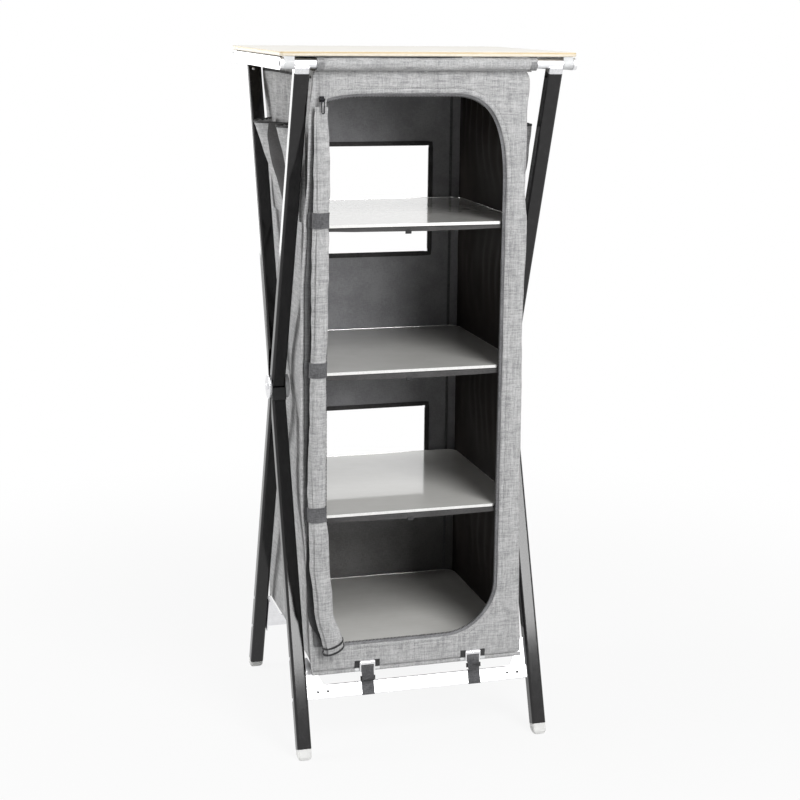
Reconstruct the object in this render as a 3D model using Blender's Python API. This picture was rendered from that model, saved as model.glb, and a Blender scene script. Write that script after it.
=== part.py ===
# Folding camping cupboard: a fabric cabinet with four shelves, hung in a scissor frame under a top board.
# Metres, +Z up, X to the right, the front faces -Y. The origin is on the floor under the middle of the frame.
import math

import bmesh
import bpy
from mathutils import Matrix, Vector

# Driving dimensions of the frame
TOTAL_HEIGHT = 1.435
SEAT_GAP = 0.0003
RUN_GAP = 0.0004
BOARD_WIDTH = 0.600
BOARD_DEPTH = 0.500
BOARD_THICK = 0.009
BOARD_CORNER = 0.006
BOARD_EDGE = 0.0012
RAIL_RADIUS = 0.0095
RAIL_WALL = 0.0015
RAIL_DROP = 0.014
RAIL_INSET = 0.008
HUB_HEIGHT = 0.731
LEG_INSET = 0.043
LEG_WIDTH = 0.030
LEG_DEPTH = 0.026
LEG_CORNER = 0.005
LEG_WALL = 0.0018
LEG_TOP_DROP = 0.0165
LEG_END_HEIGHT = 0.019
FOLD_ANGLE = math.radians(10.0)

# Hub, where the legs cross
HUB_RADIUS = 0.026
HUB_DISC_THICK = 0.0050
HUB_BOSS_THICK = 0.0080
HUB_EDGE = 0.0012
HEAD_RADIUS = 0.0068
HEAD_RISE = 0.0038
BOLT_RADIUS = 0.0040
COLLAR_LENGTH = 0.0260
COLLAR_THICK = 0.0030

# Rail ends and the side bars hinged on them
CAP_LENGTH = 0.0205
CAP_WALL = 0.0013
CAP_END = 0.0025
LUG_DEPTH = 0.016
BAR_THICK = 0.0070
BAR_HEIGHT = 0.024
BAR_PIN_RADIUS = 0.0030
BAR_HEAD_RADIUS = 0.0052
BAR_HEAD_THICK = 0.0011
CRADLE_FLOOR = 0.0040
CRADLE_LIP = 0.0036
SIDE_BAR_TURNS = 7.0

# Saddles, feet and lower bars
SADDLE_RISE = 0.0115
PLUG_LENGTH = 0.014
FOOT_FLARE = 0.0008
FOOT_SOLE_HEIGHT = 0.006
FOOT_SOLE_INSET = 0.0035
LOWER_BAR_DROP = 0.6440
LOWER_BAR_HEIGHT = 0.028
LOWER_BAR_THICK = 0.0040
LOWER_BAR_FRONT = 0.0050
BRACKET_THICK = 0.0030
BRACKET_FLANGE = 0.020
BRACKET_REACH = 0.055
GUSSET_REACH = 0.036
GUSSET_RISE = 0.058

# Fabric cabinet
CABINET_SHIFT = -0.006
CABINET_SIDE_GAP = 0.0185
CABINET_FRONT_INSET = 0.0075
CABINET_BACK_INSET = 0.0105
FABRIC = 0.0025
ROOF_DROP = 0.0135
HEM_GAP = 0.0386
SIDE_HEM_RISE = 0.010
PANEL_CORNER = 0.014
DOOR_LEFT_MARGIN = 0.0335
DOOR_RIGHT_MARGIN = 0.0535
DOOR_TOP_MARGIN = 0.0435
DOOR_BOTTOM_MARGIN = 0.052
DOOR_TOP_ARC = (0.125, 0.205)
DOOR_BOTTOM_ARC = (0.115, 0.115)
WINDOW_MARGIN = 0.0765
WINDOW_HEIGHT = 0.240
WINDOW_RISES = (0.117, 0.107)
SLEEVE_RADIUS = 0.0127
SLEEVE_RING_RADIUS = 0.0136
SLEEVE_RING_LENGTH = 0.0145
SLEEVE_INSET = 0.0010
HEM_ROD_RADIUS = 0.0042
HEM_ROD_OVERHANG = 0.0050

# Shelves
SHELF_COUNT = 4
TOP_SHELF_DROP = 0.2995
BASE_SHELF_RISE = 0.035
SHELF_THICK = 0.0060
SHELF_CORNER = 0.026
SHELF_SIDE_GAP = 0.0020
SHELF_FRONT_GAP = 0.0105
SHELF_BACK_GAP = 0.0070
SLING_THICK = 0.0020
SLING_LIP = 0.0120
SLING_SAG = 0.0040

# Rolled door, ties and zip
ROLL_FOOT_DROP = 0.002
ROLL_HEAD_DROP = 0.025
ROLL_CINCH = 0.12
TIE_RISE = 0.014
TIE_HEIGHT = 0.030
TIE_THICK = 0.0014
TIE_GAP = 0.0004
SLIDER_INSET = 0.0205
SLIDER_DROP = 0.0105
SLIDER_SIZE = (0.0090, 0.0045, 0.0110)
EAR_GAP = 0.0050
EAR_THICK = 0.0014
EAR_REACH = 0.0165
PULL_PIN_RADIUS = 0.0009
PULL_EYE_RADIUS = 0.0022
PULL_LENGTH = 0.028
PULL_WIDTH = 0.0075
PULL_BAND = 0.0017
PULL_THICK = 0.0018

# Straps, buckles and pockets
STRAP_INSETS = (0.1120, 0.1045)
STRAP_WIDTH = 0.0260
STRAP_THICK = 0.0014
BUCKLE_SIZE = (0.0330, 0.0250)
BUCKLE_BAND = 0.0030
BUCKLE_THICK = 0.0030
BUCKLE_RISE = 0.0175
POCKET_DROP = 0.1135
POCKET_DEPTH = 0.190
POCKET_HALF_SPAN = 0.165
POCKET_FLARE = 0.036
POCKET_TOE = 0.0045
POCKET_SHEET = 0.0015

# Places worked out from the dimensions
BOARD_BOTTOM = TOTAL_HEIGHT - BOARD_THICK
RAIL_HEIGHT = BOARD_BOTTOM - RAIL_DROP
RAIL_SPREAD = BOARD_DEPTH / 2 - RAIL_INSET
LEG_X = BOARD_WIDTH / 2 - LEG_INSET
LEG_REACH = math.hypot(RAIL_SPREAD, RAIL_HEIGHT - HUB_HEIGHT)
LEAN = math.atan2(RAIL_SPREAD, RAIL_HEIGHT - HUB_HEIGHT)
LEG_START = -(LEG_REACH - LEG_TOP_DROP)
LEG_END = (HUB_HEIGHT - LEG_END_HEIGHT) / math.cos(LEAN)
LEG_INNER = LEG_X - LEG_WIDTH / 2
LEG_OUTER = LEG_X + LEG_WIDTH / 2
BAR_OUTER = BOARD_WIDTH / 2
BAR_INNER = BAR_OUTER - BAR_THICK
CAP_OUTER = BAR_INNER - RUN_GAP
CAP_INNER = CAP_OUTER - CAP_LENGTH
BAR_TOP = HUB_HEIGHT - (LOWER_BAR_DROP - LOWER_BAR_HEIGHT / 2) * math.cos(LEAN)
CABINET_HALF_WIDTH = LEG_INNER - CABINET_SIDE_GAP
CABINET_FRONT = RAIL_SPREAD - CABINET_FRONT_INSET
CABINET_BACK = RAIL_SPREAD - CABINET_BACK_INSET
WALL_LEFT = CABINET_SHIFT - CABINET_HALF_WIDTH
WALL_RIGHT = CABINET_SHIFT + CABINET_HALF_WIDTH
ROOF_TOP = RAIL_HEIGHT - ROOF_DROP
FRONT_BOTTOM = BAR_TOP + HEM_GAP
WALL_BOTTOM = FRONT_BOTTOM + SIDE_HEM_RISE
TOP_SHELF = ROOF_TOP - TOP_SHELF_DROP
SHELF_PITCH = (TOP_SHELF - FRONT_BOTTOM - BASE_SHELF_RISE) / (SHELF_COUNT - 1)
SHELF_HEIGHTS = tuple(TOP_SHELF - SHELF_PITCH * k for k in range(SHELF_COUNT))
FLOOR_TOP = SHELF_HEIGHTS[-1] - SHELF_THICK - SEAT_GAP
DOOR_LEFT = WALL_LEFT + DOOR_LEFT_MARGIN
DOOR_RIGHT = WALL_RIGHT - DOOR_RIGHT_MARGIN
DOOR_TOP = ROOF_TOP - DOOR_TOP_MARGIN
DOOR_BOTTOM = FRONT_BOTTOM + DOOR_BOTTOM_MARGIN
ROLL_BOTTOM = DOOR_BOTTOM - ROLL_FOOT_DROP
ROLL_TOP = DOOR_TOP - ROLL_HEAD_DROP
TIE_HEIGHTS = tuple(height + TIE_RISE for height in SHELF_HEIGHTS[:-1])
SLIDER_X = DOOR_LEFT - SLIDER_INSET
SLIDER_HEIGHT = DOOR_TOP - SLIDER_DROP
STRAP_CENTRES = (WALL_LEFT + STRAP_INSETS[0], WALL_RIGHT - STRAP_INSETS[1])
BUCKLE_TOP = FRONT_BOTTOM + BUCKLE_RISE
POCKET_TOP = ROOF_TOP - POCKET_DROP
PIVOT = Vector((0.0, 0.0, HUB_HEIGHT))

# Roundness, in steps
CORNER_STEPS = 4
ROUND_STEPS = 24
ARC_STEPS = 12


def skin(name, colour, roughness, metallic=0.0):
    """A Principled material with the part's own colour, roughness and metallic value."""
    surface = bpy.data.materials.new(name)
    surface.use_nodes = True
    shader = surface.node_tree.nodes["Principled BSDF"]
    shader.inputs["Base Color"].default_value = (*colour, 1.0)
    shader.inputs["Roughness"].default_value = roughness
    shader.inputs["Metallic"].default_value = metallic
    return surface


def make(name, bm, surface, parent=None, origin=None, sharp=35.0):
    """Turn a bmesh in the part's frame into an object with its origin on its own axis."""
    bmesh.ops.recalc_face_normals(bm, faces=bm.faces)
    mesh = bpy.data.meshes.new(name)
    bm.to_mesh(mesh)
    bm.free()
    holder = parent.location if parent else Vector((0.0, 0.0, 0.0))
    origin = Vector(origin) if origin else Vector(holder)
    mesh.transform(Matrix.Translation(-origin))
    mesh.materials.append(surface)
    mesh.shade_smooth()
    mesh.set_sharp_from_angle(angle=math.radians(sharp))
    piece = bpy.data.objects.new(name, mesh)
    bpy.context.scene.collection.objects.link(piece)
    piece.parent = parent
    piece.location = origin - holder
    return piece


def tool(name, bm):
    """A hidden solid that a Boolean cuts away or adds."""
    piece = make(name, bm, TOOL_SKIN)
    piece.hide_render = True
    piece.display_type = "WIRE"
    return piece


def boolean(piece, operation, other):
    step = piece.modifiers.new(operation.lower(), "BOOLEAN")
    step.operation = operation
    step.object = other
    step.solver = "EXACT"


def empty(name, place, parent=None):
    holder = bpy.data.objects.new(name, None)
    bpy.context.scene.collection.objects.link(holder)
    holder.location = place
    holder.parent = parent
    return holder


def rounded_rect(width, depth, radius, steps=CORNER_STEPS):
    """Points of a rectangle with round corners, counter-clockwise about its centre."""
    points = []
    corners = ((1, 1, 0), (-1, 1, 90), (-1, -1, 180), (1, -1, 270))
    for sx, sy, start in corners:
        cx, cy = sx * (width / 2 - radius), sy * (depth / 2 - radius)
        for k in range(steps + 1):
            angle = math.radians(start + 90.0 * k / steps)
            points.append((cx + radius * math.cos(angle), cy + radius * math.sin(angle)))
    return points


def circle(radius, steps=ROUND_STEPS):
    turns = [2 * math.pi * k / steps for k in range(steps)]
    return [(radius * math.cos(turn), radius * math.sin(turn)) for turn in turns]


def arc(centre, radii, start, end, steps=ARC_STEPS):
    """Points along an ellipse's arc, from one angle to another in degrees."""
    points = []
    for k in range(steps + 1):
        angle = math.radians(start + (end - start) * k / steps)
        points.append((centre[0] + radii[0] * math.cos(angle), centre[1] + radii[1] * math.sin(angle)))
    return points


def loft(bm, rings, caps=True):
    """Skin a row of rings that have the same number of points."""
    rows = [[bm.verts.new(point) for point in ring] for ring in rings]
    for low, high in zip(rows, rows[1:]):
        for i in range(len(low)):
            j = (i + 1) % len(low)
            bm.faces.new((low[i], low[j], high[j], high[i]))
    if caps:
        bm.faces.new(rows[0])
        bm.faces.new(rows[-1])
    return rows


def tube(bm, outer, inner):
    """An open-ended tube from a row of outer rings and a row of inner rings."""
    shells = (loft(bm, outer, caps=False), loft(bm, inner, caps=False))
    for end in (0, -1):
        rim, bore = shells[0][end], shells[1][end]
        for i in range(len(rim)):
            j = (i + 1) % len(rim)
            bm.faces.new((rim[i], rim[j], bore[j], bore[i]))


def plate(bm, loops, thickness, place):
    """A flat sheet cut to closed loops of (u, v) points: the outline first, then any holes."""
    edges = []
    for loop in loops:
        verts = [bm.verts.new(place(u, v, 0.0)) for u, v in loop]
        edges += [bm.edges.new((verts[i - 1], verts[i])) for i in range(len(verts))]
    filled = bmesh.ops.triangle_fill(bm, edges=edges, use_beauty=True)["geom"]
    faces = [item for item in filled if isinstance(item, bmesh.types.BMFace)]
    grown = bmesh.ops.extrude_face_region(bm, geom=faces)["geom"]
    verts = [item for item in grown if isinstance(item, bmesh.types.BMVert)]
    bmesh.ops.translate(bm, verts=verts, vec=place(0.0, 0.0, thickness) - place(0.0, 0.0, 0.0))


def box(bm, low, high):
    sides = [high[i] - low[i] for i in range(3)]
    centre = [(high[i] + low[i]) / 2 for i in range(3)]
    bmesh.ops.create_cube(bm, size=1.0, matrix=Matrix.Translation(centre) @ Matrix.Diagonal((*sides, 1.0)))


def lathe_x(bm, profile, y, z, steps=ROUND_STEPS):
    """Turn (x, radius) points about a line along X through (y, z)."""
    rings = []
    for x, radius in profile:
        rings.append([Vector((x, y + u, z + v)) for u, v in circle(radius, steps)])
    loft(bm, rings)


def slab(name, centre, size, corner, edge, surface, origin=None):
    """A flat board with round corners and eased edges; centre is that of its top face."""
    width, depth, thick = size
    bm = bmesh.new()
    rings = []
    for inset, drop in ((edge, 0.0), (0.0, edge), (0.0, thick - edge), (edge, thick)):
        outline = rounded_rect(width - 2 * inset, depth - 2 * inset, corner)
        rings.append([Vector((centre[0] + u, centre[1] + v, centre[2] - drop)) for u, v in outline])
    loft(bm, rings)
    return make(name, bm, surface, None, origin)


def leg_frame(x, lean):
    """Frame on the hub's axis: Z runs down the leg and Y faces front. Lean is 1 for a foot at the back."""
    down = Vector((0.0, lean * math.sin(LEAN), -math.cos(LEAN)))
    side = Vector((1.0, 0.0, 0.0))
    frame = Matrix((side, down.cross(side), down)).transposed().to_4x4()
    frame.translation = (x, 0.0, HUB_HEIGHT)
    return frame


def leg_rings(frame, outline, stations):
    return [[frame @ Vector((u, v, s)) for u, v in outline] for s in stations]


def leg_tube(name, frame, stations, parent):
    """A hollow leg of round-cornered section, open at both ends."""
    inner_size = (LEG_WIDTH - 2 * LEG_WALL, LEG_DEPTH - 2 * LEG_WALL, LEG_CORNER - LEG_WALL)
    bm = bmesh.new()
    outer = leg_rings(frame, rounded_rect(LEG_WIDTH, LEG_DEPTH, LEG_CORNER), stations)
    tube(bm, outer, leg_rings(frame, rounded_rect(*inner_size), stations))
    return make(name, bm, BLACK_TUBE, parent)


def bevel_tool(name, frame, sign):
    """What a leg tube loses so that the crossing leg clears it from fully open to fully folded.

    The kept side of the tube is bounded by the crossing leg's flank at both ends of the fold.
    """
    flank = LEG_DEPTH / 2 + 2 * RUN_GAP
    opened, folded = 2 * LEAN, 2 * (LEAN - FOLD_ANGLE)
    # The point where both flanks meet, in the plane of (down the leg, towards the front)
    spread = math.sin(opened - folded)
    knee = Vector((flank * (math.cos(folded) - math.cos(opened)) / spread,
                   flank * (math.sin(opened) - math.sin(folded)) / spread))
    far = 4 * HUB_RADIUS + flank / math.sin(folded)
    behind = knee + far * Vector((math.cos(folded), -math.sin(folded)))
    before = knee + far * Vector((-math.cos(opened), math.sin(opened)))
    outline = [knee, before, Vector((-far, far)), Vector((-far, -far)), Vector((behind.x, -far)), behind]
    outline = [(sign * point.x, sign * point.y) for point in outline]
    bm = bmesh.new()
    plate(bm, [outline], 2 * LEG_WIDTH, lambda s, y, w: frame @ Vector((w - LEG_WIDTH, y, s)))
    return tool(name, bm)


def rail(name, y, parent):
    bm = bmesh.new()
    half = CAP_OUTER - CAP_END - SEAT_GAP
    rings = []
    for radius in (RAIL_RADIUS, RAIL_RADIUS - RAIL_WALL):
        rings.append([[Vector((x, y + u, RAIL_HEIGHT + v)) for u, v in circle(radius)] for x in (-half, half)])
    tube(bm, *rings)
    return make(name, bm, SILVER, parent)


def rail_cap(name, side, y, stub_radius, parent):
    """The moulded end of a rail: a cup over the tube, a lug under the board and a stub for the side bar."""
    radius = RAIL_RADIUS + SEAT_GAP + CAP_WALL
    lug_top = BOARD_BOTTOM - SEAT_GAP - RAIL_HEIGHT
    shoulder = math.degrees(math.acos(LUG_DEPTH / 2 / radius))
    outline = arc((0.0, 0.0), (radius, radius), 180.0 - shoulder, 360.0 + shoulder, 20)
    outline += [(LUG_DEPTH / 2, lug_top), (-LUG_DEPTH / 2, lug_top)]
    bm = bmesh.new()
    plate(bm, [outline], CAP_LENGTH, lambda u, v, w: Vector((side * (CAP_INNER + w), y + u, RAIL_HEIGHT + v)))
    cap = make(name, bm, PALE_PLASTIC, parent)
    bore = bmesh.new()
    ends = (side * (CAP_INNER - CAP_END), side * (CAP_OUTER - CAP_END))
    lathe_x(bore, [(x, RAIL_RADIUS + SEAT_GAP) for x in ends], y, RAIL_HEIGHT)
    boolean(cap, "DIFFERENCE", tool(name + "_bore", bore))
    stub = bmesh.new()
    profile = [(CAP_OUTER - CAP_END / 2, stub_radius), (BAR_OUTER, stub_radius)]
    if stub_radius < BAR_HEAD_RADIUS:
        head = BAR_OUTER + RUN_GAP
        profile = profile[:1] + [(head, stub_radius), (head, BAR_HEAD_RADIUS),
                                 (head + BAR_HEAD_THICK, BAR_HEAD_RADIUS - BAR_HEAD_THICK / 2)]
    lathe_x(stub, [(side * x, r) for x, r in profile], y, RAIL_HEIGHT)
    boolean(cap, "UNION", tool(name + "_stub", stub))
    return cap


def side_bar(name, side, parent):
    """A flat bar pinned to the front rail's end, whose rear cradle drops away under the back rail's end."""
    half = BAR_HEIGHT / 2
    span = 2 * RAIL_SPREAD
    seat = RAIL_RADIUS + RUN_GAP
    # While the frame folds, the back rail's end leaves the cradle upwards and to the front along this line
    drop_rate = 1.0 + SIDE_BAR_TURNS
    close_rate = 2 * (RAIL_HEIGHT - HUB_HEIGHT) / span
    slope = math.atan2(close_rate, drop_rate)
    clear = seat + 2 * RUN_GAP
    foot = (span - clear * math.cos(slope), -clear * math.sin(slope))
    mouth = foot[0] - (half - foot[1]) * math.tan(slope) - RUN_GAP
    floor = seat + CRADLE_FLOOR
    heel = span + seat + CRADLE_LIP
    outline = arc((0.0, 0.0), (half, half), 90.0, 270.0)
    outline += [(span - 3 * half, -half), (span - 2 * half, -floor)]
    outline += arc((heel - half / 2, -floor + half / 2), (half / 2, half / 2), 270.0, 360.0, 4)
    outline += [(heel, 0.0), (span + clear, 0.0)]
    start = math.degrees(slope)
    outline += arc((span, 0.0), (clear, clear), 0.0, -180.0 + start)
    outline += [(mouth, half)]
    hole = [(u, v) for u, v in circle(BAR_PIN_RADIUS + RUN_GAP, 16)]
    bm = bmesh.new()
    inner = side * BAR_INNER
    plate(bm, [outline, hole], side * BAR_THICK,
          lambda u, v, w: Vector((inner + w, u - RAIL_SPREAD, RAIL_HEIGHT + v)))
    return make(name, bm, SILVER, parent, (inner, -RAIL_SPREAD, RAIL_HEIGHT))


def saddle(name, frame, top_y, parent):
    """The silver seat between a leg's open end and the rail above it."""
    plug = rounded_rect(LEG_WIDTH - 2 * (LEG_WALL + SEAT_GAP), LEG_DEPTH - 2 * (LEG_WALL + SEAT_GAP),
                        LEG_CORNER - LEG_WALL)
    head = rounded_rect(LEG_WIDTH, LEG_DEPTH, LEG_CORNER)
    seat = LEG_START - SEAT_GAP
    bm = bmesh.new()
    rings = leg_rings(frame, plug, (seat + PLUG_LENGTH, seat))
    rings += leg_rings(frame, head, (seat, seat - SADDLE_RISE))
    loft(bm, rings)
    piece = make(name, bm, SILVER, parent)
    cutter = bmesh.new()
    ends = [(frame.translation.x + x, RAIL_RADIUS + SEAT_GAP) for x in (-LEG_WIDTH, LEG_WIDTH)]
    lathe_x(cutter, ends, top_y, RAIL_HEIGHT)
    boolean(piece, "DIFFERENCE", tool(name + "_rail", cutter))
    return piece


def foot(name, frame, parent):
    """A moulded foot: a plug in the leg's open end and a block that ends in a level sole."""
    plug = rounded_rect(LEG_WIDTH - 2 * (LEG_WALL + SEAT_GAP), LEG_DEPTH - 2 * (LEG_WALL + SEAT_GAP),
                        LEG_CORNER - LEG_WALL)
    block = rounded_rect(LEG_WIDTH - FOOT_FLARE, LEG_DEPTH - FOOT_FLARE, LEG_CORNER)
    seat = LEG_END + SEAT_GAP
    bm = bmesh.new()
    rings = leg_rings(frame, plug, (seat - PLUG_LENGTH, seat)) + leg_rings(frame, block, (seat,))
    below = frame @ Vector((0.0, 0.0, HUB_HEIGHT / math.cos(LEAN)))
    for height, inset in ((FOOT_SOLE_HEIGHT, 0.0), (FOOT_SOLE_HEIGHT / 4, FOOT_SOLE_INSET / 2), (0.0, FOOT_SOLE_INSET)):
        sole = rounded_rect(LEG_WIDTH - FOOT_FLARE - 2 * inset, LEG_DEPTH - FOOT_FLARE - 2 * inset, LEG_CORNER)
        drift = height * (frame @ Vector((0.0, 0.0, 1.0)) - frame.translation).y / math.cos(LEAN)
        rings.append([Vector((below.x + u, below.y - drift - v, height)) for u, v in sole])
    loft(bm, rings)
    return make(name, bm, CLEAR_PLASTIC, parent)


def hub(side, parent):
    """Both cheeks that carry the two halves of the rear-to-front leg past the other leg."""
    name = "left" if side < 0 else "right"
    outer, inner = LEG_OUTER + SEAT_GAP, LEG_INNER - SEAT_GAP
    face = outer + HUB_DISC_THICK
    profile = [(inner - HUB_BOSS_THICK / 2, BOLT_RADIUS), (outer, BOLT_RADIUS), (outer, HUB_RADIUS),
               (face - HUB_EDGE, HUB_RADIUS), (face, HUB_RADIUS - HUB_EDGE), (face, HEAD_RADIUS),
               (face + HEAD_RISE * 0.6, HEAD_RADIUS * 0.92), (face + HEAD_RISE, HEAD_RADIUS * 0.5)]
    bm = bmesh.new()
    lathe_x(bm, [(side * x, r) for x, r in profile], 0.0, HUB_HEIGHT)
    make("hub_disc_" + name, bm, SILVER, parent)
    low = inner - HUB_BOSS_THICK
    profile = [(inner, HUB_RADIUS), (low + HUB_EDGE, HUB_RADIUS - HUB_EDGE), (low, HUB_RADIUS - 3 * HUB_EDGE)]
    bm = bmesh.new()
    lathe_x(bm, [(side * x, r) for x, r in profile], 0.0, HUB_HEIGHT)
    boss = make("hub_boss_" + name, bm, BLACK_PLASTIC, parent)
    bore = bmesh.new()
    ends = (inner + HUB_BOSS_THICK, inner - HUB_BOSS_THICK / 2 - SEAT_GAP)
    lathe_x(bore, [(side * x, BOLT_RADIUS + SEAT_GAP) for x in ends], 0.0, HUB_HEIGHT, 16)
    boolean(boss, "DIFFERENCE", tool("hub_boss_bore_" + name, bore))


def collar(side, frame, parent):
    """The moulded collar on the front of the lower leg, just under the hub."""
    half, front = LEG_WIDTH / 2, LEG_DEPTH / 2 + SEAT_GAP
    ease = COLLAR_THICK / 3
    # It starts where the crossing leg's front face clears it with the frame fully open
    start = (LEG_DEPTH / 2 + 2 * RUN_GAP - front * math.cos(2 * LEAN)) / math.sin(2 * LEAN)
    section = [(-half, front), (half, front), (half, front + COLLAR_THICK - ease),
               (half - ease, front + COLLAR_THICK), (-half + ease, front + COLLAR_THICK),
               (-half, front + COLLAR_THICK - ease)]
    bm = bmesh.new()
    loft(bm, leg_rings(frame, section, (start, start + COLLAR_LENGTH)))
    make("hub_collar_" + ("left" if side < 0 else "right"), bm, BLACK_PLASTIC, parent)


def lower_bar(name, lean, parent):
    """The flat bar between the two feet of one frame, with its face in the legs' plane."""
    frame = leg_frame(0.0, lean)
    half, ease = LOWER_BAR_HEIGHT / 2, LOWER_BAR_THICK / 3
    outside = -lean
    face = outside * LOWER_BAR_FRONT
    back = face - outside * LOWER_BAR_THICK
    section = [(-half, back), (half, back), (half, face - outside * ease), (half - ease, face),
               (-half + ease, face), (-half, face - outside * ease)]
    bm = bmesh.new()
    rings = []
    for x in (-(LEG_INNER - SEAT_GAP), LEG_INNER - SEAT_GAP):
        rings.append([frame @ Vector((x, v, LOWER_BAR_DROP + s)) for s, v in section])
    loft(bm, rings)
    make(name, bm, SILVER, parent)


def bar_bracket(name, side, lean, parent):
    """An angle on the leg's inner face whose web is a gusset behind the lower bar."""
    frame = leg_frame(0.0, lean)
    outside = -lean
    wall = LEG_INNER - SEAT_GAP
    front = outside * (LOWER_BAR_FRONT - LOWER_BAR_THICK) - outside * SEAT_GAP
    web_back = front - outside * BRACKET_THICK
    deep = front - outside * BRACKET_FLANGE
    top = LOWER_BAR_DROP - LOWER_BAR_HEIGHT / 2
    low = LOWER_BAR_DROP + LOWER_BAR_HEIGHT / 2
    stations = ((top - GUSSET_RISE, 2 * BRACKET_THICK), (top - SEAT_GAP, GUSSET_REACH), (top, BRACKET_REACH),
                (low, BRACKET_REACH))
    bm = bmesh.new()
    rings = []
    for s, reach in stations:
        section = [(wall, front), (wall, deep), (wall - BRACKET_THICK, deep),
                   (wall - BRACKET_THICK, web_back), (wall - reach, web_back), (wall - reach, front)]
        rings.append([frame @ Vector((side * x, y, s)) for x, y in section])
    loft(bm, rings)
    make(name, bm, SILVER, parent)


def door_outline():
    """The D-shaped door opening, straight at the rolled door and round at the free side."""
    low_arc, top_arc = DOOR_BOTTOM_ARC, DOOR_TOP_ARC
    points = [(DOOR_LEFT, DOOR_TOP), (DOOR_LEFT, DOOR_BOTTOM)]
    points += arc((DOOR_RIGHT - low_arc[0], DOOR_BOTTOM + low_arc[1]), low_arc, -90.0, 0.0)
    points += arc((DOOR_RIGHT - top_arc[0], DOOR_TOP - top_arc[1]), top_arc, 0.0, 90.0)
    return points


def front_panel():
    top = ROOF_TOP + 2 * SEAT_GAP
    corner = (PANEL_CORNER, PANEL_CORNER)
    outline = [(WALL_LEFT, FRONT_BOTTOM), (WALL_RIGHT, FRONT_BOTTOM)]
    outline += arc((WALL_RIGHT - PANEL_CORNER, top - PANEL_CORNER), corner, 0.0, 90.0, CORNER_STEPS)
    outline += arc((WALL_LEFT + PANEL_CORNER, top - PANEL_CORNER), corner, 90.0, 180.0, CORNER_STEPS)
    bm = bmesh.new()
    plate(bm, [outline, door_outline()], FABRIC, lambda u, v, w: Vector((u, -CABINET_FRONT + w, v)))
    make("front_panel", bm, GREY_FABRIC)


def back_panel():
    top = ROOF_TOP + 2 * SEAT_GAP
    outline = [(WALL_LEFT, FRONT_BOTTOM), (WALL_RIGHT, FRONT_BOTTOM), (WALL_RIGHT, top), (WALL_LEFT, top)]
    loops = [outline]
    left, right = WALL_LEFT + WINDOW_MARGIN, WALL_RIGHT - WINDOW_MARGIN
    for shelf_height, rise in zip(SHELF_HEIGHTS[::2], WINDOW_RISES):
        high = shelf_height + rise
        low = high - WINDOW_HEIGHT
        loops.append([(left, low), (right, low), (right, high), (left, high)])
    bm = bmesh.new()
    plate(bm, loops, FABRIC, lambda u, v, w: Vector((u, CABINET_BACK - FABRIC + w, v)))
    make("back_panel", bm, DARK_FABRIC)


def cabinet_walls():
    """Both side walls, the roof and the floor, sewn as one loop; the sides hang on below the floor."""
    floor_low = FLOOR_TOP - FABRIC
    outline = [(WALL_LEFT, WALL_BOTTOM), (WALL_LEFT + FABRIC, WALL_BOTTOM), (WALL_LEFT + FABRIC, floor_low),
               (WALL_RIGHT - FABRIC, floor_low), (WALL_RIGHT - FABRIC, WALL_BOTTOM), (WALL_RIGHT, WALL_BOTTOM),
               (WALL_RIGHT, ROOF_TOP), (WALL_LEFT, ROOF_TOP)]
    hole = [(WALL_LEFT + FABRIC, FLOOR_TOP), (WALL_RIGHT - FABRIC, FLOOR_TOP),
            (WALL_RIGHT - FABRIC, ROOF_TOP - FABRIC), (WALL_LEFT + FABRIC, ROOF_TOP - FABRIC)]
    front = -CABINET_FRONT + FABRIC + SEAT_GAP
    depth = CABINET_BACK - FABRIC - SEAT_GAP - front
    bm = bmesh.new()
    plate(bm, [outline, hole], depth, lambda u, v, w: Vector((u, front + w, v)))
    make("cabinet_walls", bm, GREY_FABRIC)


def shelves():
    """Four loose boards: three lie on fabric slings and the lowest one on the floor."""
    width = 2 * (CABINET_HALF_WIDTH - FABRIC - SHELF_SIDE_GAP)
    front = -CABINET_FRONT + FABRIC + SHELF_FRONT_GAP
    back = CABINET_BACK - FABRIC - SHELF_BACK_GAP
    for number, height in enumerate(SHELF_HEIGHTS, 1):
        centre = (CABINET_SHIFT, (front + back) / 2, height)
        slab("shelf_board_%d" % number, centre, (width, back - front, SHELF_THICK), SHELF_CORNER,
             SHELF_THICK / 4, SHELF_SHEET)


def sling(number, height):
    """The fabric floor under a shelf board, with a front hem that sags between the walls."""
    half = CABINET_HALF_WIDTH - FABRIC - SEAT_GAP
    front = -CABINET_FRONT + FABRIC + SHELF_FRONT_GAP
    back = CABINET_BACK - FABRIC - SEAT_GAP
    top = height - SHELF_THICK - SEAT_GAP
    steps = 12
    bm = bmesh.new()
    rings = []
    for k in range(steps + 1):
        share = 2.0 * k / steps - 1.0
        lip = SLING_LIP + SLING_SAG * (1.0 - share * share)
        x = CABINET_SHIFT + half * share
        section = [(front, top), (back, top), (back, top - SLING_THICK), (front + SLING_THICK, top - SLING_THICK),
                   (front + SLING_THICK, top - lip), (front, top - lip)]
        rings.append([Vector((x, y, z)) for y, z in section])
    loft(bm, rings)
    make("shelf_sling_%d" % number, bm, DARK_FABRIC)


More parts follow.
